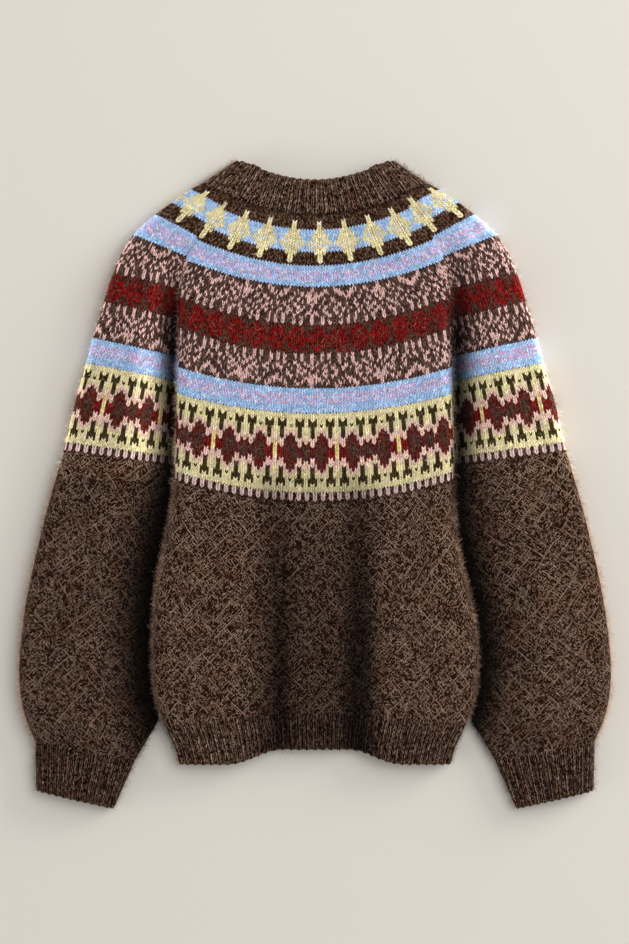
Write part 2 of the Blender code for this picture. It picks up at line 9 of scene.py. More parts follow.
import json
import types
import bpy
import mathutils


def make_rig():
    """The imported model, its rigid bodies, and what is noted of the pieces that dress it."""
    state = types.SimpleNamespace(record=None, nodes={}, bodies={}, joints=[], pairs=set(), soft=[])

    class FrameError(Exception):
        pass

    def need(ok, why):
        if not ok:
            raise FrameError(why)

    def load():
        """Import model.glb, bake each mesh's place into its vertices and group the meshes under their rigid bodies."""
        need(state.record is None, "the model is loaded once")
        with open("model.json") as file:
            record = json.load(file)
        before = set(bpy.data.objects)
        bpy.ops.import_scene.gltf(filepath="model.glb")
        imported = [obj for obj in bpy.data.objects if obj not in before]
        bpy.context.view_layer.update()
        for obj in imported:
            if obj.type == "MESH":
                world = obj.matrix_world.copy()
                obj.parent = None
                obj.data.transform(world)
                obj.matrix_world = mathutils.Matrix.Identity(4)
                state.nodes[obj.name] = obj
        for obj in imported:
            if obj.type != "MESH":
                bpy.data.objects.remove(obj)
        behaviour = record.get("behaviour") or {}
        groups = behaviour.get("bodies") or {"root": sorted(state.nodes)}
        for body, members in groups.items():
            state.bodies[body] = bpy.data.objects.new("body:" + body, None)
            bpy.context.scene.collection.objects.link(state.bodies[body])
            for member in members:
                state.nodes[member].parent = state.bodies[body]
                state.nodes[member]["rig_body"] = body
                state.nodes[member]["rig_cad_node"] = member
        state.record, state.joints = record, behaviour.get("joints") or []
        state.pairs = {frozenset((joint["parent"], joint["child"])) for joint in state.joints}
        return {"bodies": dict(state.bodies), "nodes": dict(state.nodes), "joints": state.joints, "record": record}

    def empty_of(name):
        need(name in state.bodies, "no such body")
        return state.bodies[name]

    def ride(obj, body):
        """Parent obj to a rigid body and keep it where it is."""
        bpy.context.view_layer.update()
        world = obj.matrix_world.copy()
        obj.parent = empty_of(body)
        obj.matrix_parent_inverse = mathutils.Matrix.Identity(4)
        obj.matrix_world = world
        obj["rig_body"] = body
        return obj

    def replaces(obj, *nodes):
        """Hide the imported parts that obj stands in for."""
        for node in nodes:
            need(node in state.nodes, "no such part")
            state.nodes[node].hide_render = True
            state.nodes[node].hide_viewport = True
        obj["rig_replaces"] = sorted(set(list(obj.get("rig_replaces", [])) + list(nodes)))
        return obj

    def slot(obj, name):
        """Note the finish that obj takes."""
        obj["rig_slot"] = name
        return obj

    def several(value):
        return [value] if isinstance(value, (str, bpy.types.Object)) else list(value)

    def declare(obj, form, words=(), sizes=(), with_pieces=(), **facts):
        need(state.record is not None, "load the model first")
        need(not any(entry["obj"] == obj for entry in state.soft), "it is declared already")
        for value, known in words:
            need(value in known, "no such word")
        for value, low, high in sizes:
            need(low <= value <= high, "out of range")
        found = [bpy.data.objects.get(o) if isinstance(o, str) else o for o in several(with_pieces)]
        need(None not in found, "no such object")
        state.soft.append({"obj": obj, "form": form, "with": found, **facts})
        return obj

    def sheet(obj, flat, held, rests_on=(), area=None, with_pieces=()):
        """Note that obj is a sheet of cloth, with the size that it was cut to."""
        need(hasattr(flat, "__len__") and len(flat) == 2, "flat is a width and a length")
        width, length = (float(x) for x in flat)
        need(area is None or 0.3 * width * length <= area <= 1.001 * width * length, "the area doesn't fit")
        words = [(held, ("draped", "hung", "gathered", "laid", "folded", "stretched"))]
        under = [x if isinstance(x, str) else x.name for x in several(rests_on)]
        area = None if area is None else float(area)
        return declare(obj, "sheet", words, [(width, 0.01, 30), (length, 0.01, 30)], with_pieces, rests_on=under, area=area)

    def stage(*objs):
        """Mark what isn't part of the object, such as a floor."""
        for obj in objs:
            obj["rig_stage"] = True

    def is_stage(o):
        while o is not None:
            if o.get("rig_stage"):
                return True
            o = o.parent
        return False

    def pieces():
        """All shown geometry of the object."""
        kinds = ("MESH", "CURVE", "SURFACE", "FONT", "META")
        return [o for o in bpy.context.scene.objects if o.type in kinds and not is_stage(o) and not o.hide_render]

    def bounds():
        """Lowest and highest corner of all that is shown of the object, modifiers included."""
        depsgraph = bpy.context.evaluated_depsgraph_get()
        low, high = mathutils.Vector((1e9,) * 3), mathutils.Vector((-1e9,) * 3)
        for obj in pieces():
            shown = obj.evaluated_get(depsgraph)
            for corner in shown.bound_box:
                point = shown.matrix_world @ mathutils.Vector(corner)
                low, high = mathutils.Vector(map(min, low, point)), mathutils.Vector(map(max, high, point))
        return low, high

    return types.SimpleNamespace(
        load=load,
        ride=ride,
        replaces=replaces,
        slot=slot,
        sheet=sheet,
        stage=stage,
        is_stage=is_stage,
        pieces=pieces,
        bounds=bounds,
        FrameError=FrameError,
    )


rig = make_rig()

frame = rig.load()
CAD_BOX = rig.bounds()

import json
from typing import NamedTuple

import bpy
import numpy as np
from bpy.props import FloatProperty, FloatVectorProperty, PointerProperty
from bpy.types import Operator, Panel, PropertyGroup
from mathutils import Vector

bl_info = {
    "name": "Fair Isle Cardigan",
    "version": (1, 0, 0),
    "blender": (4, 5, 0),
    "location": "View3D > Sidebar > Cardigan",
    "description": "Knits the yoke, body, sleeves and ribs of a fair isle cardigan",
    "category": "Add Mesh",
}

MM = 0.001
SIDES = ((-1, "left"), (1, "right"))

# Cloth
WALL, RIB_WALL, BAND_WALL, COLLAR_WALL = 4.0, 5.0, 4.5, 6.0
GAP = 0.4
FLOOR_CLEAR = 0.25  # lowest that any cloth or fibre reaches above the surface
FINE = 8  # points on a form's line for each of its own

# Relief of the stitches and strands
FINE_FELT, HIDDEN_FELT = 1.5, 2.6  # spacing of felt's points, where it shows and where it doesn't
COARSE = 4.0  # their spacing underneath a sleeve
SLEEVE_SEEN = 0.66  # share of the way round a sleeve that shows
FELT_LEVEL, FELT_UNEVEN, FELT_LATTICE = 0.35, 0.16, 0.3  # mean height, its spread, the lattice's share
FELT_ZERO, HIDDEN_RELIEF = 0.55, 0.3  # height that is level with the form, and the relief underneath
SETTLE, SIDE_SETTLE = 0.9, 1.7  # how far cloth that faces down or sideways is drawn in
RIM_BULGE, SEAM_BULGE = 1.4, 0.15  # how far a rim stands out, and a seam's share of that
RIM_RELIEF = 0.4  # how high a rim counts as, for its shade
INNER_ROW, INNER_COLUMNS = 7.0, 90  # quads of a piece's inner side: their length, how many across
TUCKED_UNDER, UNDER_DEPTH = 1.6, 1.3  # how far a row reaches under the one above, and how deep
SEAM_DEPTH, SEAM_PAINTED_SHADOW = 0.4, 0.45  # dent along a seam, and how light the painted shadow leaves it there
SLEEVE_SHIFT = -15.0  # how far the repeats on the sleeves are moved
FREE_TRIM = 2.0  # how much of a form its rounded free edge takes up
RIB_WIDTHS, RIB_ROW = (5.0, 3.4), 3.6  # widths of a rib's knit and purl wales, height of its rows
RIB_FLAT = 0.45  # share of a stitch's relief that is left on the purl wales
SCALLOP = 0.6  # how far each rib stands out at its free end
RIB_FADE, SCALLOP_FADE = 2.5, 3.0  # rows over which a rib's stitches and scallop fade there
RUMPLE = 0.35  # height of the back's own unevenness, for each of its waves
RUMPLE_FROM, CREASE_FROM, TOP_RUN = 10.0, 4.0, 12.0  # heights at which these start, and their run
UNEVEN_STITCH = 0.1  # how much the height of a stitch varies
RUN_DOWN = 0.5  # share of the ground below pink that pink runs over
STITCH_TONE, QUAD_TONE, FELT_TONE = 0.07, 0.15, 0.1  # how much the tone of a stitch or quad varies

# Painted shade in the hollows, where the cloth is darker
CREASE_GLOOM, LEFT_GLOOM = 2.0, 0.85  # strength in the creases, and the left one's share of it
CREASE_FULL, GLOOM_OUTSIDE = 12.5, 20.0  # depth that counts as full, and the reach outside
DEPTH_POWER, SHAPE_POWER, VALLEY_POWER = 0.4, 1.1, 2.4  # how these three fall off
VALLEY_GLOOM, VALLEY_WIDE = 0.975, (42.0, 27.0)  # strength in the valleys, widths left and right
VALLEY_FROM, VALLEY_RUN = 230.0, 80.0  # Y at which they start, and how long they take to be full
YOKE_VALLEY, WIDER_FROM, WIDER_RUN = 20.0, 50.0, 110.0  # their width on the yoke, and where it grows
SIDE_LEAN, BODY_FADE = 0.03, 8.0  # how the body narrows up the yoke, and how wide its limit is
EDGE_GLOOM, EDGE_WIDE, EDGE_FROM, EDGE_RUN = 0.8, 9.0, -30.0, 25.0  # painted shade along the right side of the yoke

# Painted highlight on the folds, and tone of the plain brown cloth
LEFT_PALE, RIGHT_PALE = 0.9, 0.1  # how much paler the body's two folds are painted, as a highlight
OUTLINE_PALE, YOKE_PALE, YOKE_RUN = 0.5, 1.8, 40.0  # the outer folds, and what the yoke's have more
OUTLINE_FROM = 15.0  # how far out of the body's side cloth counts as an outer fold
PALE_FROM, PALE_RUN = 6.0, 6.0  # height at which folds start to be paler, and their run
# The left sleeve's lower value is partly painted shade
BODY_TONE, LEFT_SLEEVE_TONE, RIGHT_SLEEVE_TONE = 0.88, 0.74, 0.83
PLAIN_FROM, PLAIN_RUN = 20.0, 25.0  # Y at which that tone starts, and how long it takes
RIB_DARKER, LEFT_HEM_SHARE = 0.16, 0.3  # how much darker ribs are, and the left hem's share of it
RIB_FROM, RIB_RUN = -236.0, 12.0  # Y at which that starts, and how long it takes

# Wool
SHADE_LOW, SHADE_RANGE = 0.42, 0.85  # painted shade between stitches, and how much lighter their tops are painted
SHEEN = 0.07
STROKE_EDGE, STROKE_CORE = 0.17, 0.05  # from a felted strand's middle line, where it ends and is full
FELT_STRAND = 0.76  # how light the felt's strands are, a rib's being 1
TANGLE = ((1.0, 0.0), (1.1, 31.0), (1.35, 67.1))  # scale and shift of each layer of felted strands
LONG_STRANDS = (47.0, 61.0)  # scale of the noise that breaks up the long ones, each way

# Loose fibres
YOKE_FIBRES, COLLAR_FIBRES, HEM_FIBRES, CUFF_FIBRES = 2500, 1400, 1600, 900
ASLANT_SPREAD, ANY_WAY = 0.28, 0.3  # spread of the angle of those aslant, and how many aren't
LENGTHS = (0.4, 1.3)  # shortest and longest, as shares of the length that the user sets
STANDING_RISE, LYING_RISE = (0.5, 1.0), (0.08, 0.5)  # how high the ends reach, as shares of length
STANDING_SHARES = (0.5, 0.15)  # how many stand, on cloth that faces sideways and elsewhere
STANDING_WIDTH, CURL, ROOT_CLEAR = 0.6, 0.2, 0.2
FIBRE_TONES = (0.4, 1.6)
FIBRE_SHAPE = (  # shares of a fibre's reach along, up and aside, and of its width, at three places
    (0.0, -0.25, 0.0, 1.0),
    (0.5, 0.8, 1.0, 0.9),
    (1.0, 1.0, 0.0, 0.3),
)
UPRIGHT_BELOW = 0.5  # cloth whose outward direction is less than this up or down faces sideways
RIM_FUZZ, RIM_HIGHLIGHT, RIM_LONGER = 7.0, 0.9, 0.3  # more fibres that face sideways, their painted highlight, and how much longer they are
INNER_RIM = 0.3  # share of the last two for folds that aren't on the outline
RIM_FROM = 172.0  # how far to each side the outline is fuzzier

# Stage, in metres
FLOOR_WIDTH, FLOOR_LEVEL = 6.0, -0.0003
FLOOR_TINT = 0.94  # how light the darkest flecks of its paint are


class Lamp(NamedTuple):
    """A square light that faces the middle of the floor."""

    name: str
    place: tuple
    size: float
    share: float  # of the key light's power


LAMPS = [
    Lamp("key", (1.9, 1.2, 4.2), 3.6, 1.0),
    Lamp("low_right", (3.6, 2.4, 1.28), 2.2, 1.15),
    Lamp("low_left", (-3.6, -1.2, 1.3), 2.2, 0.25),
]
LAMP_COLOUR = (1.0, 0.98, 0.955)
FILL_COLOUR = (0.97, 0.98, 1.0, 1.0)
CAMERA_HEIGHT, SENSOR, LENS = 3.0, 36.0, 113.8
CAMERA_SIDEWAYS, CAMERA_UP = -0.0005, 0.0125  # how far it is from over the cloth's middle

# Folds that run down the sides
BODY_FOLD = 16.0  # how far across the body's side fold takes to turn from level to upright
VALLEY_STEP = 3.0  # how far the cloth between body and sleeve leans out where it is deepest
FULL_DROP = 23.0  # depth of the valley between body and sleeve at the end of the yoke
SLEEVE_EDGE, CUFF_EDGE = 5.5, 8.0  # radii of the inner edges of a sleeve and of a cuff
TUCK = 2.5  # how far a sleeve's inner edge reaches under the body
SLEEVE_CREST = 0.55  # where a sleeve is highest, from its inner edge (0) to its outer edge (1)
COLLAR_TOP_HALF, COLLAR_TOP_END, COLLAR_TOP_MIDDLE = 79.0, 326.0, 305.5
COLLAR_DROP = 3.0  # how much lower the collar's top edge lies than its seam
FIRST_BEND = 0.64  # where the neck's front row has its bend, as a share of the way to its fold
TURN_FROM = 0.68  # where a row starts to turn down, as a share of the way round the body's fold
SLEEVE_LEAVES = -215.0  # Y at which a sleeve comes out from under the body

# Where the side of the body on +X is drawn in
DRAWN_IN, DRAWN_IN_X, DRAWN_IN_Y = 8.0, 155.0, -70.0  # how far, and its middle
DRAWN_IN_LONG, DRAWN_IN_CORE, DRAWN_IN_FADE = 60.0, 25.0, 45.0  # reach along Y, then across X
DRAWN_IN_RISE = 8.0  # height from which it is full

# Button bands and buttons
BAND_HALF = 16.0  # half the width of a band
BAND_TOP = 262.0  # Y of its top end
FRONT_NECK = 222.0  # Y of the neck's lowest place
LIFT_FROM = 45.0  # how far from the middle the upper front starts to rise onto the lower one's band
BUTTON_COUNT = 7
BUTTON_FIRST, BUTTON_LAST = -246.0, 246.0
BUTTON_RADIUS, BUTTON_THICK = 9.0, 3.0
BUTTON_RINGS = np.array(  # radii of its rings of points, as shares of its own
    [0, 0.08, 0.16, 0.22, 0.27, 0.32, 0.37, 0.42, 0.5, 0.6, 0.7, 0.78, 0.84, 0.9, 0.95, 0.98, 1.0]
)
BUTTON_EDGE, DISH_END = 0.84, 0.72  # where its rounded edge starts and its dish ends, as shares too
BUTTON_SIDES, BUTTON_DISH = 48, 0.9
# HOLE_SHADE is how light the painted shade leaves a hole's bottom
HOLE_OUT, HOLE_RADIUS, HOLE_DEPTH, HOLE_SHADE = 2.6, 1.0, 1.3, 0.15

# Length of the body
UNDERARM_MIDDLE = -18.5
HEM_START_MIDDLE, HEM_START_EDGE = -228.5, -241.5
HEM_END = -281.0
HEM_RAISE, HEM_RAISE_FROM, HEM_RAISE_TO = 15.0, 32.0, 88.0  # how far it rides up, and where to
FRONT_HEM_SHORTER = 2.0
CUFF_END_OUTER, CUFF_END_INNER = (-307.0, 280.5), (-326.0, 200.5)  # (Y, X) of its free corners
CUFF_START_OUTER, CUFF_START_INNER = -257.0, -277.0  # Y of its corners at the sleeve


class YokeRow(NamedTuple):
    """One row of the yoke's knitting, which curves up from the middle line to the outer fold."""

    middle: float  # Y on the middle line
    edge_rise: float  # how much higher it is where the body's side fold starts
    inner_rise: float  # and at the foot of the valley between body and sleeve
    outer_rise: float  # and at the outer fold
    edge: float  # X of the body's side
    outer: float  # X of the outer fold
    drop: float  # depth of the valley below the body
    body: float  # height of the body
    crest: float  # height of the sleeve head
    fold: float  # radius of the outer fold


YOKE = [
    YokeRow(270.5, 16.0, 16.2, 31.0, 83.0, 115.0, 0.8, 27.0, 26.4, 11.0),
    YokeRow(256.0, 20.0, 20.3, 41.0, 92.0, 124.0, 1.0, 27.5, 26.8, 11.2),
    YokeRow(241.5, 24.0, 24.5, 48.5, 101.0, 134.5, 1.3, 28.0, 27.2, 11.5),
    YokeRow(218.5, 26.0, 26.6, 53.0, 117.0, 160.0, 2.0, 29.0, 27.8, 12.0),
    YokeRow(197.5, 27.0, 28.6, 53.0, 128.0, 182.5, 5.0, 30.0, 28.6, 12.2),
    YokeRow(178.0, 28.0, 33.5, 53.0, 133.0, 195.0, 10.0, 30.6, 29.2, 12.5),
    YokeRow(159.5, 29.0, 36.5, 53.0, 136.5, 203.0, 15.5, 31.2, 29.8, 12.8),
    YokeRow(130.5, 27.0, 35.0, 53.0, 137.5, 212.5, 19.5, 32.0, 30.6, 13.0),
    YokeRow(96.5, 22.0, 32.0, 51.0, 138.5, 223.0, 21.5, 32.8, 31.4, 13.2),
    YokeRow(72.5, 20.5, 32.0, 51.0, 139.0, 229.5, 22.2, 33.2, 31.8, 13.4),
    YokeRow(27.0, 20.5, 33.5, 50.5, 140.3, 242.5, 22.7, 33.7, 32.0, 13.5),
    YokeRow(UNDERARM_MIDDLE, 22.0, 36.0, 51.0, 141.5, 253.0, FULL_DROP, 34.0, 32.0, 13.5),
]

# Y, and the X of the body's side there
BODY_SIDE = [
    (17.5, 141.5),
    (-25.0, 145.0),
    (-55.0, 151.0),
    (-90.0, 158.0),
    (-135.0, 163.0),
    (-180.0, 163.7),
    (-215.0, 160.0),
    (-241.5, 152.0),
    (-262.0, 142.5),
    (-284.0, 136.5),
]

# Y, height of the body at its sides, depth of its two creases
BODY_HEIGHT = [
    (17.5, 34.0, 0.0),
    (-60.0, 35.0, 2.5),
    (-120.0, 35.0, 7.5),
    (-180.0, 33.0, 11.5),
    (-228.5, 29.0, 12.5),
    (-255.0, 25.0, 10.0),
    (-284.0, 22.0, 7.5),
]
LEFT_CREASE, RIGHT_CREASE = -38.0, 41.0  # X of the creases' feet
CREASE_OUTSIDE, CREASE_INSIDE = 10.0, 15.0  # how wide they are on each side of that
CREASES_WITHIN = 110.0  # how far from the middle they reach
BETWEEN_CREASES = 0.4  # share of their depth that the cloth between them has

# Y at a sleeve's outer fold, and its X there
SLEEVE_OUTER = [
    (32.5, 253.0),
    (-12.0, 266.0),
    (-70.0, 280.5),
    (-115.0, 290.0),
    (-150.0, 295.0),
    (-190.0, 297.5),
    (-215.0, 295.5),
    (-236.0, 290.5),
    (-250.0, 284.0),
    (CUFF_START_OUTER, 281.5),
]

# Y at a sleeve's inner edge, and its X there, once it has come out from under the body
SLEEVE_INNER_BELOW = [(-238.0, 155.5), (-262.0, 170.5), (CUFF_START_INNER, 179.0)]

# Y at a sleeve's inner edge, its height, and the radius of its outer fold
SLEEVE_HEIGHT = [
    (17.5, 32.0, 13.5),
    (-80.0, 34.0, 14.0),
    (-180.0, 34.0, 14.0),
    (-240.0, 31.0, 13.0),
    (CUFF_START_INNER, 25.0, 11.0),
    (CUFF_END_INNER[0], 21.0, 9.5),
]


# Curves


def through(place, value, at):
    """Smooth curve through values at rising places: a cubic between each two, with mean slopes."""
    slope = np.gradient(value, place, axis=0)
    at = np.clip(np.asarray(at, float), place[0], place[-1])
    first = np.clip(np.searchsorted(place, at, "right") - 1, 0, len(place) - 2)
    wide = at.shape + (1,) * (value.ndim - 1)
    span = (place[first + 1] - place[first]).reshape(wide)
    t = (at - place[first]).reshape(wide) / span
    ends = value[first] * (1 + 2 * t) * (1 - t) ** 2 + value[first + 1] * t**2 * (3 - 2 * t)
    lean = slope[first] * t * (1 - t) ** 2 - slope[first + 1] * t**2 * (1 - t)
    return ends + lean * span


def from_table(table, at, column=1):
    """A smooth curve through a column of a table, at places on its first column."""
    rows = np.array(sorted(table), float)
    return through(rows[:, 0], rows[:, column], at)


def smoothstep(t):
    """0 below 0, 1 above 1, and level at both."""
    t = np.clip(t, 0.0, 1.0)
    return t * t * (3 - 2 * t)


def steps(count):
    """count + 1 values from 0 to 1."""
    return np.linspace(0.0, 1.0, count + 1)


# Sections. Each is an array of points (across, height, y) from one end of a piece to the other.


def quarter(centre_x, centre_z, radius_x, radius_z, start, turn, count):
    """Arc of an ellipse from the angle start, turning by turn degrees, without its first point."""
    angle = np.radians(start + turn * steps(count)[1:])
    return centre_x + radius_x * np.cos(angle), centre_z + radius_z * np.sin(angle)


def sleeve_top(inner, outer, low, crest, end, count):
    """The top of a sleeve from its inner edge at height low, over its crest, to its outer fold."""
    t = steps(count)[1:]
    climb = low + (crest - low) * smoothstep(t / SLEEVE_CREST)
    fall = (crest - end) * smoothstep((t - SLEEVE_CREST) / (1 - SLEEVE_CREST))
    return inner + (outer - inner) * t, climb - fall


def body_rise(x, edge, rise, roll_rise, turned):
    """How much a row curves up across the body, turned being 0 on its top and 1 down its side."""
    return rise * (np.minimum(x, edge) / edge) ** 2 * (1 - turned) + roll_rise * turned


def turning():
    """How far a row has turned down at each point of the body's fold: most of it out of sight."""
    return smoothstep((steps(4)[1:] - TURN_FROM) / (1 - TURN_FROM))


def both_sides(half):
    """The whole row from half of it, which starts on the middle line."""
    return np.concatenate([half[:0:-1] * [-1, 1, 1], half])


def yoke_section(row):
    """Half a row of the yoke's back: the body, its fold, the valley, the sleeve and the outer fold."""
    share = row.drop / FULL_DROP
    fold_height = row.body / 2 * share
    flat = row.edge - BODY_FOLD
    foot_x, foot_z = row.edge + VALLEY_STEP * share, row.body - row.drop
    top_x = flat * steps(7)
    fold_x, fold_z = quarter(flat, row.body - fold_height, BODY_FOLD, fold_height, 90, -90, 4)
    wall = steps(2)[1:]
    end_x = row.outer - row.fold
    head_x, head_z = sleeve_top(foot_x, end_x, foot_z, row.crest, 2 * row.fold, 8)
    roll_x, roll_z = quarter(end_x, row.fold, row.fold, row.fold, 90, -180, 6)
    x = [top_x, fold_x, row.edge + (foot_x - row.edge) * wall, head_x, roll_x]
    fold_foot = row.body - fold_height
    z = [np.full(8, row.body), fold_z, fold_foot + (foot_z - fold_foot) * wall, head_z, roll_z]
    x, z = np.concatenate(x), np.concatenate(z)
    turned = np.concatenate([np.zeros(8), turning(), np.ones(len(x) - 12)])
    body = body_rise(x, row.edge, row.edge_rise, row.inner_rise, turned)
    inner = foot_x - SLEEVE_EDGE
    out = np.clip((x - inner) / (row.outer - inner), 0, 1)
    on_sleeve = np.arange(len(x)) >= 12
    y = row.middle + np.where(on_sleeve, row.inner_rise + (row.outer_rise - row.inner_rise) * out, body)
    return np.stack([x, z, y], 1)


def crease_shape(x, beyond=CREASE_OUTSIDE):
    """The two creases that rise from the hem, across the body: 1 at the foot of each."""
    outside = np.maximum(LEFT_CREASE - x, x - RIGHT_CREASE)
    inside = np.minimum(x - LEFT_CREASE, RIGHT_CREASE - x)
    steep = np.exp(-((np.maximum(outside, 0) / beyond) ** 2))
    soft = BETWEEN_CREASES + (1 - BETWEEN_CREASES) * np.exp(-((inside / CREASE_INSIDE) ** 2))
    return np.where(outside > 0, steep, soft) * (np.abs(x) < CREASES_WITHIN)


def body_section(middle, rise, roll_rise, edge_y):
    """A row of the body's back: level, and bent over to the surface at each side.

    rise and roll_rise are how much higher the row is at its side folds, on top and underneath."""
    edge, height = float(from_table(BODY_SIDE, edge_y)), float(from_table(BODY_HEIGHT, edge_y))
    radius = height / 2
    flat = edge - BODY_FOLD
    fold_x, fold_z = quarter(flat, radius, BODY_FOLD, radius, 90, -180, 8)
    x = np.concatenate([flat * steps(11), fold_x])
    z = np.concatenate([np.full(12, height), fold_z])
    turned = np.concatenate([np.zeros(12), turning(), np.ones(4)])
    half = np.stack([x, z, middle + body_rise(x, edge, rise, roll_rise, turned)], 1)
    return both_sides(half)


def fold_foot(edge_y):
    """X at which the body's side fold comes down to the surface and meets the fronts."""
    return float(from_table(BODY_SIDE, edge_y)) - BODY_FOLD


def sleeve_inner(y):
    """X of a sleeve's inner edge: tucked under the body as far as the body's side reaches."""
    below, out = SLEEVE_INNER_BELOW[0]
    under = from_table(BODY_SIDE, y) - TUCK
    tucked = from_table(BODY_SIDE, SLEEVE_LEAVES) - TUCK
    leave = tucked + (out - tucked) * smoothstep((SLEEVE_LEAVES - y) / (SLEEVE_LEAVES - below))
    free = from_table(SLEEVE_INNER_BELOW, y)
    return float(np.where(y > SLEEVE_LEAVES, under, np.where(y > below, leave, free)))


def tube_section(start, end, height, edge_radius, fold_radius):
    """A row round a sleeve or cuff, from under its inner edge over its top and back underneath.

    start and end are (y, x) at its inner and outer edges."""
    inner, outer = start[1], end[1]
    low, high = edge_radius, fold_radius
    low_x, low_z = quarter(inner + low, low, low, low, 270, -180, 5)
    top_x, top_z = sleeve_top(inner + low, outer - high, 2 * low, height, 2 * high, 8)
    roll_x, roll_z = quarter(outer - high, high, high, high, 90, -180, 6)
    base_x = outer - high + (inner + low - outer + high) * steps(3)[1:]
    x = np.concatenate([[inner + low], low_x, top_x, roll_x, base_x])
    z = np.concatenate([[0.0], low_z, top_z, roll_z, np.zeros(3)])
    out = np.clip((x - inner) / (outer - inner), 0, 1)
    return np.stack([x, z, start[0] + (end[0] - start[0]) * out], 1)


# Forms. Each is a smooth surface through sections, placed by how far down the cloth they lie.


class Form:
    """A surface of how far down the cloth, in millimetres, and how far across it, from 0 to 1."""

    def __init__(self, sections, places):
        order = np.argsort(places)
        self.places = np.array(places, float)[order]
        self.grid = np.array(sections, float)[order][:, :, [0, 2, 1]]

    def lines(self, down):
        """Rows at those places as fine lines: cubics down the sections, then along each row."""
        rows = through(self.places, self.grid, down).swapaxes(0, 1)
        count = len(rows)
        fine = np.linspace(0, count - 1, FINE * (count - 1) + 1)
        lines = through(np.arange(count, dtype=float), rows, fine).swapaxes(0, 1)
        leg = np.linalg.norm(np.diff(lines, axis=1), axis=2)
        travel = np.concatenate([np.zeros((len(lines), 1)), np.cumsum(leg, axis=1)], axis=1)
        return lines, travel

    def length(self, down):
        """Length of the row that far down."""
        return float(self.lines(np.array([down]))[1][0, -1])

    def at(self, down, across):
        """Grid of points: rows down the cloth, each shared out by its length as across says.

        Past its ends the form goes straight on."""
        inside = np.clip(down, self.places[0], self.places[-1])
        lines, travel = self.lines(inside)
        rows = [
            np.stack([np.interp(across * t[-1], t, line[:, axis]) for axis in range(3)], 1)
            for line, t in zip(lines, travel)
        ]
        rows, beyond = np.array(rows), down - inside
        if beyond.any():
            ends = np.flatnonzero(beyond)
            inward = self.at(inside[ends] - np.sign(beyond[ends]), across)
            rows[ends] += (rows[ends] - inward) * np.abs(beyond[ends])[:, None, None]
        return rows


def yoke_places():
    """How far down the yoke's middle line each of its rows is."""
    return [YOKE[0].middle - row.middle for row in YOKE]


def yoke_form():
    """The yoke's back with the sleeve heads: its rows, and their mirror images on -X."""
    return Form([both_sides(yoke_section(row)) for row in YOKE], yoke_places())


def front_line(bend, foot):
    """X of the points on a row of a front, from its band to its bend and on to the side fold."""
    near = BAND_HALF + (bend - BAND_HALF) * steps(6)
    return np.concatenate([near, bend + (foot - bend) * steps(4)[1:]])


def yoke_front_form(side):
    """A front half of the yoke, flat, from the button band out to the fold, facing down.

    Each row rises outwards as a parabola. Further down, where the back's valley is deeper, it
    turns into a parabola as far as the body's side and a straight line across the sleeve."""
    rows = []
    first, last = YOKE[0], YOKE[-1]
    for row in YOKE:
        foot, _, foot_y = yoke_section(row)[-1]
        down = (first.middle - row.middle) / (first.middle - last.middle)
        middle = FRONT_NECK + (last.middle - FRONT_NECK) * down
        share = (row.drop - first.drop) / (last.drop - first.drop)
        bend = FIRST_BEND * foot + (row.edge - BODY_FOLD - FIRST_BEND * foot) * share
        x = front_line(bend, foot)
        arch = middle + (foot_y - middle) * (x / foot) ** 2
        body_y = row.middle + row.inner_rise
        on_body = middle + (body_y - middle) * (x / bend) ** 2
        on_sleeve = body_y + (foot_y - body_y) * (x - bend) / (foot - bend)
        rows.append(np.stack([x, arch + (np.where(x < bend, on_body, on_sleeve) - arch) * share], 1))
    return plate_form(rows, side, yoke_places())


def plate_form(rows, side, places):
    """A front piece from rows of (x, y) out from its band, lifted at the left where it laps over."""
    sections = []
    for row in rows:
        line = row.copy()
        line[0, 0] = BAND_HALF + GAP
        line[-1, 0] -= GAP
        x = line[:, 0] * side
        height = np.full(len(x), 0.0)
        if side < 0:
            height = (BAND_WALL + GAP) * smoothstep((x + LIFT_FROM) / (LIFT_FROM - BAND_HALF))
        section = np.stack([x, height, line[:, 1]], 1)
        sections.append(section if side < 0 else section[::-1])
    return Form(sections, places)


def body_rows(count):
    """Rows of the back from the yoke to the hem: (Y in the middle, rise on top, rise underneath)."""
    t = steps(count)
    end_rise = HEM_START_EDGE - HEM_START_MIDDLE
    middle = UNDERARM_MIDDLE + (HEM_START_MIDDLE - UNDERARM_MIDDLE) * t
    first = YOKE[-1]
    rise = first.edge_rise + (end_rise - first.edge_rise) * t
    return list(zip(middle, rise, first.inner_rise + (end_rise - first.inner_rise) * t))


def back_form():
    """The body's back: even rows from the yoke to the hem, bent over at both sides."""
    rows = body_rows(12)
    sections = [body_section(middle, rise, roll, middle + roll) for middle, rise, roll in rows]
    return Form(sections, [UNDERARM_MIDDLE - middle for middle, _, _ in rows])


def front_form(side):
    """A front of the body: even rows that rise outwards as parabolas to the foot of the fold."""
    rows, places = [], []
    for middle, _, roll_rise in body_rows(12):
        foot = fold_foot(middle + roll_rise)
        x = BAND_HALF + (foot - BAND_HALF) * steps(8)
        rows.append(np.stack([x, middle + roll_rise * (x / foot) ** 2], 1))
        places.append(UNDERARM_MIDDLE - middle)
    return plate_form(rows, side, places)


def hem_end(x):
    """Y of the hem's bottom edge, which rides up between the creases."""
    raised = 1 - smoothstep((np.abs(x) - HEM_RAISE_FROM) / (HEM_RAISE_TO - HEM_RAISE_FROM))
    return HEM_END + HEM_RAISE * raised


def hem_form():
    """The hem's back: rows that pass evenly from the back's last row to the bottom edge."""
    sections, rise = [], HEM_START_EDGE - HEM_START_MIDDLE
    length = HEM_START_EDGE - HEM_END
    for t in steps(5):
        edge_y = HEM_START_EDGE - length * t
        section = body_section(HEM_START_MIDDLE, rise, rise, edge_y)
        section[:, 2] += (hem_end(section[:, 0]) - section[:, 2]) * t
        sections.append(section)
    return Form(sections, length * steps(5))


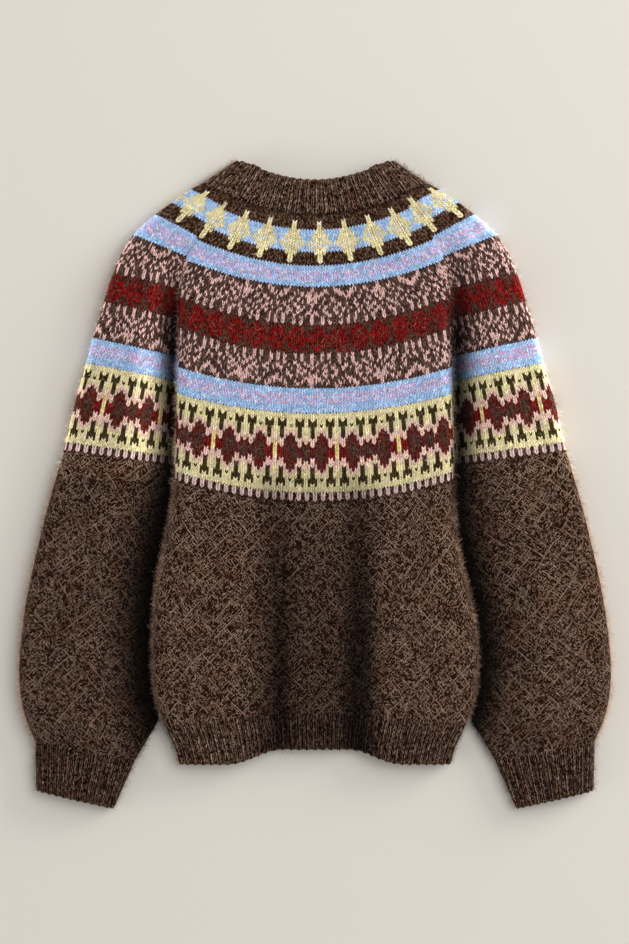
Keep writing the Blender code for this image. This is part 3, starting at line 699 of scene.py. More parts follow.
def hem_front_form(side):
    """A front of the hem: rows that pass evenly from a parabola to the bottom edge."""
    rows, rise = [], HEM_START_EDGE - HEM_START_MIDDLE
    length = HEM_START_EDGE - HEM_END
    for t in steps(5):
        foot = fold_foot(HEM_START_EDGE - length * t)
        x = BAND_HALF + (foot - BAND_HALF) * steps(12)
        start = HEM_START_MIDDLE + rise * (x / foot) ** 2
        end = hem_end(x) + FRONT_HEM_SHORTER * (1 - (x / foot) ** 2)
        rows.append(np.stack([x, start + (end - start) * t], 1))
    return plate_form(rows, side, length * steps(5))


class CollarRow(NamedTuple):
    """A row of the collar, whose first lies on the yoke's and whose last is its free edge."""

    place: float  # how far down the collar it is
    outer: float  # X of the outer fold
    back: float  # Y at the middle of the back
    end: float  # Y at the outer fold
    front: float  # Y at the middle of the front
    drop: float  # how much lower than the yoke's row it lies


def collar_rows():
    """Six rows, spaced evenly from the yoke's first row to the collar's top edge."""
    first, rows = YOKE[0], []
    end = first.middle + first.outer_rise
    for t in steps(5):
        row = CollarRow(
            place=(COLLAR_TOP_MIDDLE - first.middle) * (1 - t),
            outer=first.outer + (COLLAR_TOP_HALF - first.outer) * t,
            back=first.middle + (COLLAR_TOP_MIDDLE - first.middle) * t,
            end=end + (COLLAR_TOP_END - end) * t,
            front=FRONT_NECK + (BAND_TOP - FRONT_NECK) * t,
            drop=COLLAR_DROP * t,
        )
        rows.append(row)
    return rows


def collar_form():
    """The collar's back: the yoke's first row drawn in, with the same round folds."""
    sections, first = [], YOKE[0]
    seam = both_sides(yoke_section(first))
    rise = (seam[:, 2] - first.middle) / first.outer_rise
    flat = first.outer - first.fold
    beyond = np.abs(seam[:, 0]) - flat
    for row in collar_rows():
        section = seam.copy()
        level = np.clip(seam[:, 0], -flat, flat) * (row.outer - first.fold) / flat
        section[:, 0] = level + np.sign(seam[:, 0]) * np.maximum(beyond, 0)
        section[:, 1] -= row.drop * smoothstep(-beyond / flat)
        section[:, 2] = row.back + (row.end - row.back) * rise
        sections.append(section)
    return Form(sections, [row.place for row in collar_rows()])


def collar_front_form(side):
    """A front of the collar: parabolas from the band up to the foot of the back's fold."""
    first, lines = YOKE[0], []
    foot_rise = (yoke_section(first)[-1, 2] - first.middle) / first.outer_rise
    for row in collar_rows():
        foot = row.outer - first.fold
        x = front_line(FIRST_BEND * foot, foot)
        foot_y = row.back + (row.end - row.back) * foot_rise
        lines.append(np.stack([x, row.front + (foot_y - row.front) * (x / foot) ** 2], 1))
    return plate_form(lines, side, [row.place for row in collar_rows()])


def tube_form(inner_edge, outer_edge, edge_radii, side):
    """A sleeve or cuff from the (y, x) of its two edges, run so that its outside faces out."""
    sections, places = [], []
    for start, end, edge_radius in zip(inner_edge, outer_edge, edge_radii):
        height = float(from_table(SLEEVE_HEIGHT, start[0]))
        fold = float(from_table(SLEEVE_HEIGHT, start[0], 2))
        section = tube_section(start, end, height, edge_radius, fold) * [side, 1, 1]
        sections.append(section if side > 0 else section[::-1])
        places.append((inner_edge[0][0] + outer_edge[0][0] - start[0] - end[0]) / 2)
    return Form(sections, places)


def sleeve_form(side):
    """A sleeve: even rows round it from the yoke to the cuff, between its tables' two edges."""
    t, first = steps(14), YOKE[-1]
    start_y = first.middle + first.inner_rise
    start_y = start_y + (CUFF_START_INNER - start_y) * t
    end_y = first.middle + first.outer_rise
    end_y = end_y + (CUFF_START_OUTER - end_y) * t
    starts = [(y, sleeve_inner(y)) for y in start_y]
    starts[0] = (start_y[0], first.edge + VALLEY_STEP - SLEEVE_EDGE)
    ends = [(y, float(from_table(SLEEVE_OUTER, y))) for y in end_y]
    radii = SLEEVE_EDGE + (CUFF_EDGE - SLEEVE_EDGE) * smoothstep((t - 0.8) / 0.2)
    return tube_form(starts, ends, radii, side)


def cuff_form(side):
    """A cuff: even rows round it, between straight lines that join its corners."""
    t = steps(4)[:, None]
    start = np.array([CUFF_START_INNER, sleeve_inner(CUFF_START_INNER)])
    end = np.array([CUFF_START_OUTER, float(from_table(SLEEVE_OUTER, CUFF_START_OUTER))])
    starts = start + (np.array(CUFF_END_INNER) - start) * t
    ends = end + (np.array(CUFF_END_OUTER) - end) * t
    return tube_form(starts, ends, np.full(len(t), CUFF_EDGE), side)


def band_form(low):
    """A straight button band, facing down, with its underside at the height low."""
    bottom = hem_end(0.0) + FRONT_HEM_SHORTER
    x = BAND_HALF * np.linspace(1, -1, 9)
    rows = [np.stack([x, np.full(9, low), np.full(9, y)], 1) for y in np.linspace(BAND_TOP, bottom, 7)]
    return Form(rows, (BAND_TOP - bottom) * steps(6))


# Charts. A letter is a stitch; a row is half a repeat, from its middle stitch out, and is mirrored.


class Band(NamedTuple):
    """Rows of knitting with one repeat across."""

    top: float  # how far down the yoke's middle line it starts
    bottom: float  # and ends
    centre: float  # how far across the middle stitch of a repeat is
    widths: tuple  # of half a repeat's stitches
    chart: tuple  # a string for each row
    lone: float = 0.0  # share of its pink stitches of which only one leg shows
    heart: float = 0.15  # how much darker the middle of a stitch is painted: painted shade between its legs
    turn: float = 0.0  # how far out the sleeves' part starts, if its repeats are set apart


STAR = (
    "KKKKK",
    "KKKKK",
    "KKKKK",
    "TKKKK",
    "YKKKK",
    "YKKKK",
    "YYLLL",
    "YYLLL",
    "YYYLL",
    "YSYLL",
    "YSSYL",
    "SSSYL",
    "YSYLL",
    "YYLLL",
    "YYKKK",
    "YKKKK",
    "YKKKK",
    "YKKKK",
)
BLUE = ("K", "L", "L", "M", "M", "M", "M", "L", "L")
LACE = (
    "PNNNNNNPNNN",
    "PNNNPNNPPNN",
    "PPNPNPNNPPN",
    "PPPNNNNNNPP",
    "PPNNPNPNNNP",
    "NPNPNNNPNNN",
    "PNNNNPNNPNP",
    "NNPNPNNPNNN",
    "PNNPNNPNNPN",
    "NPNNPNNPNNP",
    "PNPNNPNNPNN",
    "PNNPNNNNPNP",
    "PNNPNPNNPNP",
    "PNNPNPNNPNP",
)
RED = (
    "RBBR",
    "RRBB",
    "RRRB",
    "RRRB",
    "RRRR",
    "RRRR",
    "RRRB",
    "RRRB",
    "RRBB",
    "RBBR",
)
TULIP = (
    "YYYYYYYYYYY",
    "YYYYYYYYYYY",
    "YOYOYYYOYOY",
    "YOOOYYYOOOY",
    "YOOOYOYOOOY",
    "YYOYYYYYOYY",
    "YYOYQQQYOYY",
    "YQOQQEQQOQY",
    "YQOQEEEQOQY",
    "QQQEEEEQQQQ",
    "GQQEEEEEQEQ",
    "GRQEEBEEQEE",
    "GRREBBBEEBB",
    "GRREEBBBEBB",
    "GRREEBBBEBB",
    "GRREBBBEEBB",
    "QRQEEBEEQEE",
    "QQQEEEEEQEQ",
    "QQQQEEEQQQQ",
    "YQOQEEEQOQY",
    "YQOQQEQQOQY",
    "YYOYQQQYOYY",
    "YYOYYYYYOYY",
    "YOOOYOYOOOY",
    "YOOOYYYOOOY",
    "YOYOYYYOYOY",
    "YYYYYYYYYYY",
    "YYYYYYYYYYY",
)
TICKS = ("WK", "WK", "WK", "KK")

YOKE_BANDS = (
    Band(0.0, 50.0, 4.5, (5.0, 3.1, 3.1, 3.1, 2.9), STAR),
    Band(50.0, 73.5, 0.0, (3.3,), BLUE),
    Band(73.5, 111.5, -3.0, (3.45,) * 11, LACE, 0.42, 0.2),
    Band(111.5, 140.0, 3.0, (3.45,) * 4, RED),
    Band(140.0, 174.5, -3.0, (3.45,) * 11, LACE[:6:-1] + LACE[5::-1], 0.42, 0.2),
    Band(174.5, 199.5, 0.0, (3.3,), BLUE[1:] + BLUE[-1:]),
    Band(
        199.5, 278.5, -40.0, (4.2, 2.2, 4.4, 2.3, 3.0, 3.0, 3.0, 2.3, 4.4, 2.3, 4.0), TULIP, turn=156.0
    ),
    Band(278.5, 289.0, 0.0, (4.5, 3.6), TICKS, heart=0.3),
)
UPPER_BANDS = 5

# The letter of each plain wool. A "t" is brown with pale strands, and an "X" is brown darkened: painted shade in the
# purl wales, and dark flecks in the mixes.
WOOLS = {
    "k": "brown",
    "F": "felt",
    "n": "lace_brown",
    "y": "yellow",
    "T": "tip",
    "l": "blue",
    "w": "pale_blue",
    "V": "lilac",
    "p": "mauve",
    "P": "pink",
    "W": "pale_pink",
    "r": "red",
    "D": "dark_red",
    "o": "olive",
    "g": "gold",
}

# What each stitch of a chart is spun from, and in what shares
MIXES = {
    "P": (("P", 0.8), ("W", 0.14), ("n", 0.06)),
    "M": (("l", 0.4), ("w", 0.2), ("V", 0.2), ("p", 0.2)),
    "S": (("y", 0.56), ("l", 0.12), ("w", 0.16), ("p", 0.04), ("T", 0.12)),
    "O": (("o", 0.68), ("k", 0.18), ("X", 0.14)),
    "B": (("n", 0.48), ("D", 0.18), ("o", 0.16), ("X", 0.18)),
    "R": (("r", 0.46), ("D", 0.26), ("n", 0.06), ("X", 0.22)),
    "E": (("D", 0.52), ("r", 0.06), ("n", 0.28), ("X", 0.14)),
    "Q": (("P", 0.8), ("y", 0.14), ("T", 0.06)),
    "G": (("y", 0.6), ("g", 0.4)),
    "Y": (("y", 0.76), ("T", 0.16), ("W", 0.08)),
    "L": (("l", 0.8), ("w", 0.14), ("V", 0.06)),
    "K": (("k", 0.56), ("t", 0.24), ("X", 0.2)),
    "N": (("n", 0.66), ("t", 0.14), ("X", 0.2)),
    "C": (("k", 0.5), ("X", 0.5)),
    # Purl wales: painted shade, mostly the darkened brown
    "U": (("X", 0.9), ("k", 0.1)),
}


def display(red, green, blue):
    """Linear colour from the 0 to 255 values that a screen shows."""
    shown = np.array([red, green, blue]) / 255
    linear = np.where(shown <= 0.04045, shown / 12.92, ((shown + 0.055) / 1.055) ** 2.4)
    return tuple(float(value) for value in linear)


def mirrored(half):
    """A whole repeat from half of it: its middle stitch, out to its far one, and back."""
    return half + half[-2:0:-1]


def wales(widths, centre, length):
    """Edges of the stitches across a row, and which stitch of the repeat each one is.

    The repeats run out both ways from a middle stitch at centre, and the end ones are cut off."""
    repeat = np.array(mirrored(tuple(widths)))
    count = int(np.ceil(length / repeat.sum())) + 2
    edges = centre - repeat[0] / 2 - count * repeat.sum()
    edges = edges + np.concatenate([[0], np.cumsum(np.tile(repeat, 2 * count + 1))])
    which = np.tile(np.arange(len(repeat)), 2 * count + 1)
    middle = (edges[:-1] + edges[1:]) / 2
    inside = np.abs(middle) < length / 2 - 0.3 * repeat.min()
    first, last = np.flatnonzero(inside)[[0, -1]]
    edges = edges[first : last + 2].copy()
    edges[[0, -1]] = -length / 2, length / 2
    return edges, which[first : last + 1]


def band_wales(band, length):
    """A band's stitches. Past its turn, on the sleeves, the repeats are set a little to one side."""
    edges, which = wales(band.widths, band.centre, length)
    if not band.turn:
        return edges, which
    outer, outer_which = wales(band.widths, band.centre + SLEEVE_SHIFT, length)
    inside = np.flatnonzero(np.abs(edges) < band.turn)
    first, last = inside[0], inside[-1]
    left, right = np.flatnonzero(outer < edges[first] - 1), np.flatnonzero(outer > edges[last] + 1)
    edges = np.concatenate([outer[left], edges[first : last + 1], outer[right]])
    which = np.concatenate([outer_which[left], which[first:last], outer_which[right - 1]])
    return edges, which


def spun(letters, wools, rng):
    """Colour of each place from its letter: mixed yarns are picked apart at random by their shares."""
    for letter, parts in MIXES.items():
        where = letters == letter
        names = np.array([name for name, _ in parts])
        letters[where] = rng.choice(names, where.sum(), p=[share for _, share in parts])
    colours = np.zeros(letters.shape + (3,))
    for letter, wool in wools.items():
        colours[letters == letter] = wool
    return colours


# Meshes


def drawn_in(points):
    """The side of the body on +X drawn in below the yoke, and the sleeve beside it with it.

    It moves by a bell curve of Y, faded out across X. What lies on the surface stays where it is."""
    x, y, z = points.T
    inward = DRAWN_IN * np.exp(-(((y - DRAWN_IN_Y) / DRAWN_IN_LONG) ** 2))
    near = 1 - smoothstep((np.abs(x - DRAWN_IN_X) - DRAWN_IN_CORE) / DRAWN_IN_FADE)
    points[:, 0] -= inward * near * smoothstep(z / DRAWN_IN_RISE)
    return points


class Cloth:
    """Grids of quads, each with its colours, strand coordinates and relief, that make one mesh."""

    def __init__(self):
        self.points, self.corners, self.colours, self.strands, self.relief = [], [], [], [], []
        self.worn, self.count = [], 0

    def add(self, points, colours, strands=None, relief=None, worn=1.0):
        """A grid of points, facing down its rows crossed with along them, coloured by its quads."""
        rows, columns = points.shape[:2]
        number = self.count + np.arange(rows * columns).reshape(rows, columns)
        quads = [number[:-1, :-1], number[1:, :-1], number[1:, 1:], number[:-1, 1:]]
        self.corners.append(np.stack(quads, -1).reshape(-1, 4))
        self.points.append(points.reshape(-1, 3))
        # The colours take each quad's painted light and shade, and tone
        worn = np.broadcast_to(worn, (rows - 1, columns - 1))
        self.colours.append((np.array(colours) * worn[..., None]).reshape(-1, 3))
        self.worn.append(worn.reshape(-1))
        flat = np.zeros((rows, columns, 2)) if strands is None else strands
        self.strands.append(flat.reshape(-1, 2))
        level = np.full((rows, columns), 0.5) if relief is None else relief
        self.relief.append(level.reshape(-1))
        self.count += rows * columns

    def add_strips(self, strips, colours):
        """Separate strips of two quads, each from three pairs of points along it."""
        count = len(strips)
        number = self.count + np.arange(count * 6).reshape(count, 3, 2)
        quads = [number[:, :-1, 0], number[:, 1:, 0], number[:, 1:, 1], number[:, :-1, 1]]
        self.corners.append(np.stack(quads, -1).reshape(-1, 4))
        self.points.append(strips.reshape(-1, 3))
        self.colours.append(np.repeat(colours, 2, axis=0))
        self.worn.append(np.ones(count * 2))
        self.strands.append(np.zeros((count * 6, 2)))
        self.relief.append(np.ones(count * 6))
        self.count += count * 6

    def make(self, piece, material):
        """One object of all its grids. Its colours, strands and relief go into the mesh."""
        points = drawn_in(np.concatenate(self.points)) * MM
        points[:, 2] = np.maximum(points[:, 2], FLOOR_CLEAR * MM)
        corners = np.concatenate(self.corners)
        mesh = bpy.data.meshes.new(piece)
        mesh.vertices.add(len(points))
        mesh.vertices.foreach_set("co", points.ravel())
        mesh.loops.add(corners.size)
        mesh.loops.foreach_set("vertex_index", corners.ravel())
        mesh.polygons.add(len(corners))
        mesh.polygons.foreach_set("loop_start", np.arange(0, corners.size, 4))
        mesh.polygons.foreach_set("use_smooth", np.ones(len(corners), bool))
        mesh.update(calc_edges=True)
        colours = np.ones((corners.size, 4))
        colours[:, :3] = np.repeat(np.concatenate(self.colours), 4, axis=0)
        yarn = mesh.color_attributes.new("yarn", "FLOAT_COLOR", "CORNER")
        yarn.data.foreach_set("color", colours.ravel())
        mesh.uv_layers.new(name="strands")
        strands = np.concatenate(self.strands)[corners.ravel()]
        mesh.uv_layers["strands"].data.foreach_set("uv", strands.ravel())
        # Each quad's painted light and shade goes into the mesh too, for the strands' colour
        for name, kind, values in (("relief", "POINT", self.relief), ("worn", "FACE", self.worn)):
            layer = mesh.attributes.new(name, "FLOAT", kind)
            layer.data.foreach_set("value", np.concatenate(values))
        mesh.materials.append(material)
        thing = bpy.data.objects.new(piece, mesh)
        bpy.context.scene.collection.objects.link(thing)
        return thing


def directions(points):
    """Unit vectors down the cloth and out of its face at each point of a grid."""
    down, along = np.gradient(points, axis=0), np.gradient(points, axis=1)
    down = down / np.maximum(np.linalg.norm(down, axis=2, keepdims=True), 1e-6)
    out = np.cross(down, along)
    return down, out / np.maximum(np.linalg.norm(out, axis=2, keepdims=True), 1e-6)


class Face(NamedTuple):
    """The outer side of a piece, as grids."""

    base: np.ndarray  # points on its smooth form
    points: np.ndarray  # the same with their relief
    ahead: np.ndarray  # directions down the cloth
    out: np.ndarray  # and out of it
    colours: np.ndarray
    worn: np.ndarray  # how light each quad is: its painted light and shade, and tone


def raised(base, ahead, out, slide, height):
    """Points moved along the cloth by slide and out of it by height.

    Where the cloth faces down or sideways it is drawn in first, so that its relief stays off the
    surface and inside the outline."""
    settle = SETTLE * np.clip(-out[..., 2:], 0, 1) + SIDE_SETTLE * (1 - np.abs(out[..., 2:]))
    return base + ahead * slide[..., None] + out * (height[..., None] - settle)


def close(cloth, faces, form, span, wall, colour, shape=None, free=0):
    """Adds the inner side of a piece's faces, coarse, and rounded rims that join the two all round.

    A rim is half an ellipse across the wall. free is 1 where the last row is a free edge, and -1
    where the first is. A seam hardly bulges."""
    start, length = span[0], span[1] - span[0]
    rows = max(int(length / INNER_ROW), 3)
    points = form.at(start + length * steps(rows), steps(INNER_COLUMNS))
    if shape:
        points = shape(points)
    _, out = directions(points)
    cloth.add((points - out * wall)[:, ::-1], colour)
    turn = np.pi * steps(4)[:, None, None]
    for number, face in enumerate(faces):
        along = np.gradient(face.base, axis=1)
        along = along / np.maximum(np.linalg.norm(along, axis=2, keepdims=True), 1e-6)
        edges = [(np.s_[:, 0], -along), (np.s_[::-1, -1], along)]
        if number == 0:
            edges.append((np.s_[0, ::-1], -face.ahead * (1.0 if free < 0 else SEAM_BULGE)))
        if number == len(faces) - 1:
            edges.append((np.s_[-1, :], face.ahead * (1.0 if free > 0 else SEAM_BULGE)))
        for place, beyond in edges:
            outer, inner = face.points[place], face.base[place] - face.out[place] * wall
            middle, half = (outer + inner) / 2, (outer - inner) / 2
            strip = middle + half * np.cos(turn) + beyond[place] * RIM_BULGE * np.sin(turn)
            cloth.add(strip, colour, relief=np.full(strip.shape[:2], RIM_RELIEF))


def painted_hollow_shade(x, y, side, on_body):
    """Painted shade in the cloth's hollows: how light it is there, 1 being as light as the rest.

    The hollows are the back's two creases, with what lies between them, and the valley that each
    sleeve has beside the body, which fades out across the sleeve by a bell curve."""
    deep = (from_table(BODY_HEIGHT, y, 2) / CREASE_FULL) ** DEPTH_POWER
    deep = deep * crease_shape(x, GLOOM_OUTSIDE) ** SHAPE_POWER
    crease = np.exp(-CREASE_GLOOM * np.where(x < LEFT_CREASE / 3, LEFT_GLOOM, 1.0) * deep)
    below = smoothstep((VALLEY_FROM - y) / VALLEY_RUN)
    wide = np.where(x < 0, *VALLEY_WIDE)
    wide = YOKE_VALLEY + (wide - YOKE_VALLEY) * smoothstep((WIDER_FROM - y) / WIDER_RUN)
    away = np.maximum(np.abs(x) - side - 1, 0) / wide
    valley = 1 - VALLEY_GLOOM * np.exp(-(away**VALLEY_POWER)) * below
    # Painted shade along the body's right side, where it turns away from the light
    edge = smoothstep((x - side + EDGE_WIDE) / EDGE_WIDE) * smoothstep((y - EDGE_FROM) / EDGE_RUN)
    return crease * (1 - EDGE_GLOOM * edge * below) * on_body + valley * (1 - on_body)


def painted_fold_highlight(x, y, z, up, side):
    """Painted highlight on the folds: the cloth is painted lighter as it turns down over a fold."""
    pale = np.where(x < 0, LEFT_PALE, RIGHT_PALE)
    outline = OUTLINE_PALE + YOKE_PALE * smoothstep(y / YOKE_RUN)
    pale = np.where(np.abs(x) > side + OUTLINE_FROM, outline, pale)
    return 1 + (1 - up) * smoothstep((z - PALE_FROM) / PALE_RUN) * pale


def plain_tone(x, y, on_body):
    """How light the plain cloth and its ribs are, the yoke being 1: their tone, with painted shade on the left sleeve.
    """
    # Painted shade makes the left sleeve darker than the right; both also take the plain cloth's tone
    sleeve = np.where(x < 0, LEFT_SLEEVE_TONE, RIGHT_SLEEVE_TONE)
    tone = BODY_TONE + (1 - on_body) * (sleeve - BODY_TONE)
    share = np.where((x < 0) & (on_body > 0.5), LEFT_HEM_SHARE, 1.0)
    tone = tone * (1 - RIB_DARKER * smoothstep((RIB_FROM - y) / RIB_RUN) * share)
    return 1 + (tone - 1) * smoothstep((PLAIN_FROM - y) / PLAIN_RUN)


def worn(base, out):
    """Painted light of each quad: a painted highlight on folds, painted shade in hollows, and the tone of its kind of
    cloth.
    """
    x, y, z = np.moveaxis(base[:-1, :-1], 2, 0)
    up = np.clip(out[:-1, :-1, 2], 0, 1)
    side = from_table(BODY_SIDE, y) - SIDE_LEAN * np.maximum(y - BODY_SIDE[0][0], 0)
    on_body = 1 - smoothstep((np.abs(x) - side) / BODY_FADE + 0.5)
    return painted_hollow_shade(x, y, side, on_body) * painted_fold_highlight(x, y, z, up, side) * plain_tone(x, y, on_body)


class Knit(NamedTuple):
    """How stitches stand out of the cloth, in millimetres."""

    leg: float = 1.25  # how far a stitch's middle hangs below its sides, each way from level
    crest: float = 0.33  # height of a leg
    groove: float = 0.38  # depth between two wales
    heart: float = 0.08  # depth between a stitch's two legs
    row: float = 0.18  # how much higher a leg is at its middle than on average
    rib: float = 0.0  # depth of the purl wales between ribs
    scallop: float = 0.0  # how far each rib stands out at its free end
    detail: int = 2  # quads down a stitch, and across each of its legs


RIB_STITCH = Knit(leg=1.5, crest=0.45, groove=0.2, heart=-0.05, row=0.15)
HIDDEN_STITCH = Knit(detail=1, crest=0.3, groove=0.3)


def stitch_relief(band, style, across, phase, place):
    """How far each point of a band's stitches is moved down the cloth, and how far out of it.

    Each wale's edges are moved up and its middle down, so its two legs make a V. Legs stand proud
    along their middles. Where ribbed, the face sinks as a cosine between the knit wales."""
    rounded = np.abs(np.sin(2 * np.pi * phase))
    low = np.where(np.abs(phase - 0.5) < 0.25, -style.heart, -style.groove)
    height = low + (style.crest - low) * rounded
    height = height + style.row * (1 - 2 * np.abs(np.cos(np.pi * place)))[:, None]
    slide = np.broadcast_to(style.leg * (1 - 2 * np.abs(2 * phase - 1)), height.shape).copy()
    if style.rib:
        wave = np.cos(2 * np.pi * (across - band.centre) / sum(mirrored(tuple(band.widths))))
        height = height * (RIB_FLAT + (1 - RIB_FLAT) * np.clip(wave, 0, 1)) - style.rib * (1 - wave) / 2
        from_free = place if style.scallop < 0 else place[-1] - place
        slide *= smoothstep(0.2 + from_free / RIB_FADE)[:, None]
        slide += style.scallop * wave * smoothstep(1 - from_free / SCALLOP_FADE)[:, None]
    return slide, height


def each_quad(stitches, detail):
    """A grid of quads from a grid of stitches."""
    return np.repeat(np.repeat(stitches, detail, axis=0), 2 * detail, axis=1)


def stitch_colours(band, detail, which, phase, wools, rng):
    """Colour of each quad of a band: its stitch's yarn, unevenly toned, with painted shade at its heart.

    Of some pink stitches only one leg shows, and pink runs down over some quads of the ground."""
    letters = np.array([list(mirrored(row)) for row in band.chart])[:, which]
    tone = rng.normal(1, STITCH_TONE, letters.shape)
    lone = rng.random(letters.shape) < band.lone
    lone_leg = rng.integers(0, 2, letters.shape)
    letters, tone, lone, lone_leg = (each_quad(grid, detail) for grid in (letters, tone, lone, lone_leg))
    leg = np.tile(np.repeat([0, 1], detail), len(which))
    letters = np.where((letters == "P") & lone & (leg == lone_leg), "N", letters)
    if band.lone:
        above = np.pad(letters == "P", ((1, 0), (0, 0)))[:-1]
        runs = rng.random(letters.shape) < RUN_DOWN
        letters = np.where(above & (letters == "N") & runs, "P", letters)
    tone = tone * rng.normal(1, QUAD_TONE, tone.shape)
    # Painted shade in the middle of each stitch, between its legs
    middle = (phase[:-1] + phase[1:] + (phase[1:] == 0)) / 2
    tone = tone * np.where(np.abs(middle - 0.5) < 0.25, 1 - band.heart, 1.0)
    return spun(letters, wools, rng) * tone[..., None]


def knit(cloth, form, band, style, wools, rng, tucked=True, shape=None):
    """Stitches of a band on a form.

    A tucked band starts with a row that reaches up under the one above."""
    length = form.length((band.top + band.bottom) / 2)
    edges, which = band_wales(band, length)
    detail, rows = style.detail, len(band.chart)
    phase = np.linspace(0, 1, 2 * detail, endpoint=False)
    across = np.append((edges[:-1, None] + phase * np.diff(edges)[:, None]).ravel(), edges[-1])
    phase = np.append(np.tile(phase, len(which)), 0.0)
    place = np.arange(rows * detail + 1) / detail
    down = band.top + (band.bottom - band.top) * place / rows
    if tucked:
        down, place = np.append(band.top - TUCKED_UNDER, down), np.append(0.0, place)
    base = form.at(down, across / length + 0.5)
    if shape:
        base = shape(base)
    ahead, out = directions(base)

    slide, height = stitch_relief(band, style, across, phase, place)
    if tucked:
        height[0] -= UNDER_DEPTH
        height[1] -= SEAM_DEPTH
    uneven = each_quad(rng.normal(0, UNEVEN_STITCH, (rows, len(which))), detail)
    height += np.pad(uneven, ((len(down) - rows * detail, 0), (1, 0)), mode="edge")
    points = raised(base, ahead, out, slide, height)

    colours = stitch_colours(band, detail, which, phase, wools, rng)
    # Painted shadow along the collar's seam: on the first rows under it and on the collar's last rows
    if not tucked and not style.rib:
        colours[:detail] *= SEAM_PAINTED_SHADOW
    if style.scallop < 0:
        colours[-detail:] *= SEAM_PAINTED_SHADOW
    if tucked:
        colours = np.concatenate([colours[:1], colours])
    light = worn(base, out)
    wale = np.append(np.repeat(np.arange(len(which)), 2 * detail), len(which)) + phase
    strands = np.stack(np.broadcast_arrays(wale[None, :], place[:, None]), -1)
    low, high = -style.groove - style.row - style.rib, style.crest + style.row
    cloth.add(points, colours, strands, np.clip((height - low) / (high - low), 0, 1), light)
    return Face(base, points, ahead, out, colours, light[..., None])


def lattice(across, down, pitch, rng):
    """Two sets of strands that cross at right angles, aslant, each over and under the other.

    Gives each point's place in pitches along both sets, bent by slow waves, and its height 0 to 1."""
    turn = rng.uniform(0, 2 * np.pi, 6)
    bend = 0.5 * np.sin(across / 8.3 + turn[0] + 1.7 * np.sin(down / 13.1 + turn[1]))
    bend += 0.45 * np.sin(down / 6.1 + turn[2] + 1.4 * np.sin(across / 9.7 + turn[3]))
    sway = 0.55 * np.sin(down / 9.4 + turn[4] + 1.6 * np.sin(across / 11.9 + turn[5]))
    first = (across + down) / (pitch * np.sqrt(2)) + 0.3 * bend
    second = (across - down) / (pitch * np.sqrt(2)) + 0.3 * sway
    heights = []
    for place, other, swap in ((first, second, 1), (second, first, -1)):
        over = 0.5 + 0.5 * swap * np.cos(np.pi * (other + np.round(place)))
        heights.append((0.5 + 0.5 * np.cos(2 * np.pi * place)) * (0.3 + 0.7 * over))
    return first, second, np.maximum(*heights)


def felt_columns(seen, width, spacing):
    """Places across felt, from 0 to 1: close together where it is seen, and coarse elsewhere."""
    low, high = seen
    fine = np.linspace(low, high, int(width * (high - low) / spacing))
    before = np.linspace(0, low, int(width * low / COARSE) + 1, endpoint=False) * (low > 0)
    after = np.linspace(1, high, int(width * (1 - high) / COARSE) + 1, endpoint=False)[::-1]
    return np.unique(np.concatenate([before, fine, after]))


def felt(cloth, form, seen, spacing, sizes, colour, rng, shape=None):
    """Plain felted cloth: a lattice of strands in uneven relief on the form.

    seen is the stretch across it, from 0 to 1, that has the close spacing."""
    length = form.places[-1]
    across = felt_columns(seen, form.length(length / 2), spacing)
    down = np.append(-TUCKED_UNDER, length * steps(int(length / spacing)))
    base = form.at(down, across)
    if shape:
        base = shape(base)
    ahead, out = directions(base)
    widths = np.linalg.norm(np.diff(base, axis=1), axis=2).sum(axis=1)
    side = (across[None, :] - 0.5) * widths[:, None]
    first, second, level = lattice(side, np.broadcast_to(down[:, None], side.shape), sizes.pitch, rng)
    level = np.clip(FELT_LATTICE * level + rng.normal(FELT_LEVEL, FELT_UNEVEN, level.shape), 0, 1)
    hidden = (across < seen[0]) | (across > seen[1])
    height = sizes.relief * (level - FELT_ZERO) * np.where(hidden, HIDDEN_RELIEF, 1.0)
    height[0] -= UNDER_DEPTH
    points = raised(base, ahead, out, np.zeros(height.shape), height)
    tone = rng.normal(1, FELT_TONE, (len(down) - 1, len(across) - 1, 1))
    colours, light = np.array(colour) * tone, worn(base, out)
    cloth.add(points, colours, np.stack([first, second], -1), level, light)
    return Face(base, points, ahead, out, colours, light[..., None])


def roots(faces, count, rng):
    """Random places on faces, mostly by area: where, the two directions there, colour and painted light."""
    cells = []
    for face in faces:
        a, b, c = face.points[:-1, :-1], face.points[:-1, 1:], face.points[1:, :-1]
        area = np.linalg.norm(np.cross(b - a, c - a), axis=2)
        lists = (a, b - a, c - a, face.ahead[:-1, :-1], face.out[:-1, :-1], face.colours, face.worn)
        cells.append([area.ravel()] + [grid.reshape(area.size, -1) for grid in lists])
    area, corner, right, below, ahead, out, colour, painted_light_there = map(np.concatenate, zip(*cells))
    area = area * (1 + RIM_FUZZ * (np.abs(out[:, 2]) < UPRIGHT_BELOW))
    pick = rng.choice(len(area), count, p=area / area.sum())
    t, u = rng.random((2, count, 1))
    where = corner[pick] + right[pick] * u + below[pick] * t
    return where, ahead[pick], out[pick], colour[pick], painted_light_there[pick]


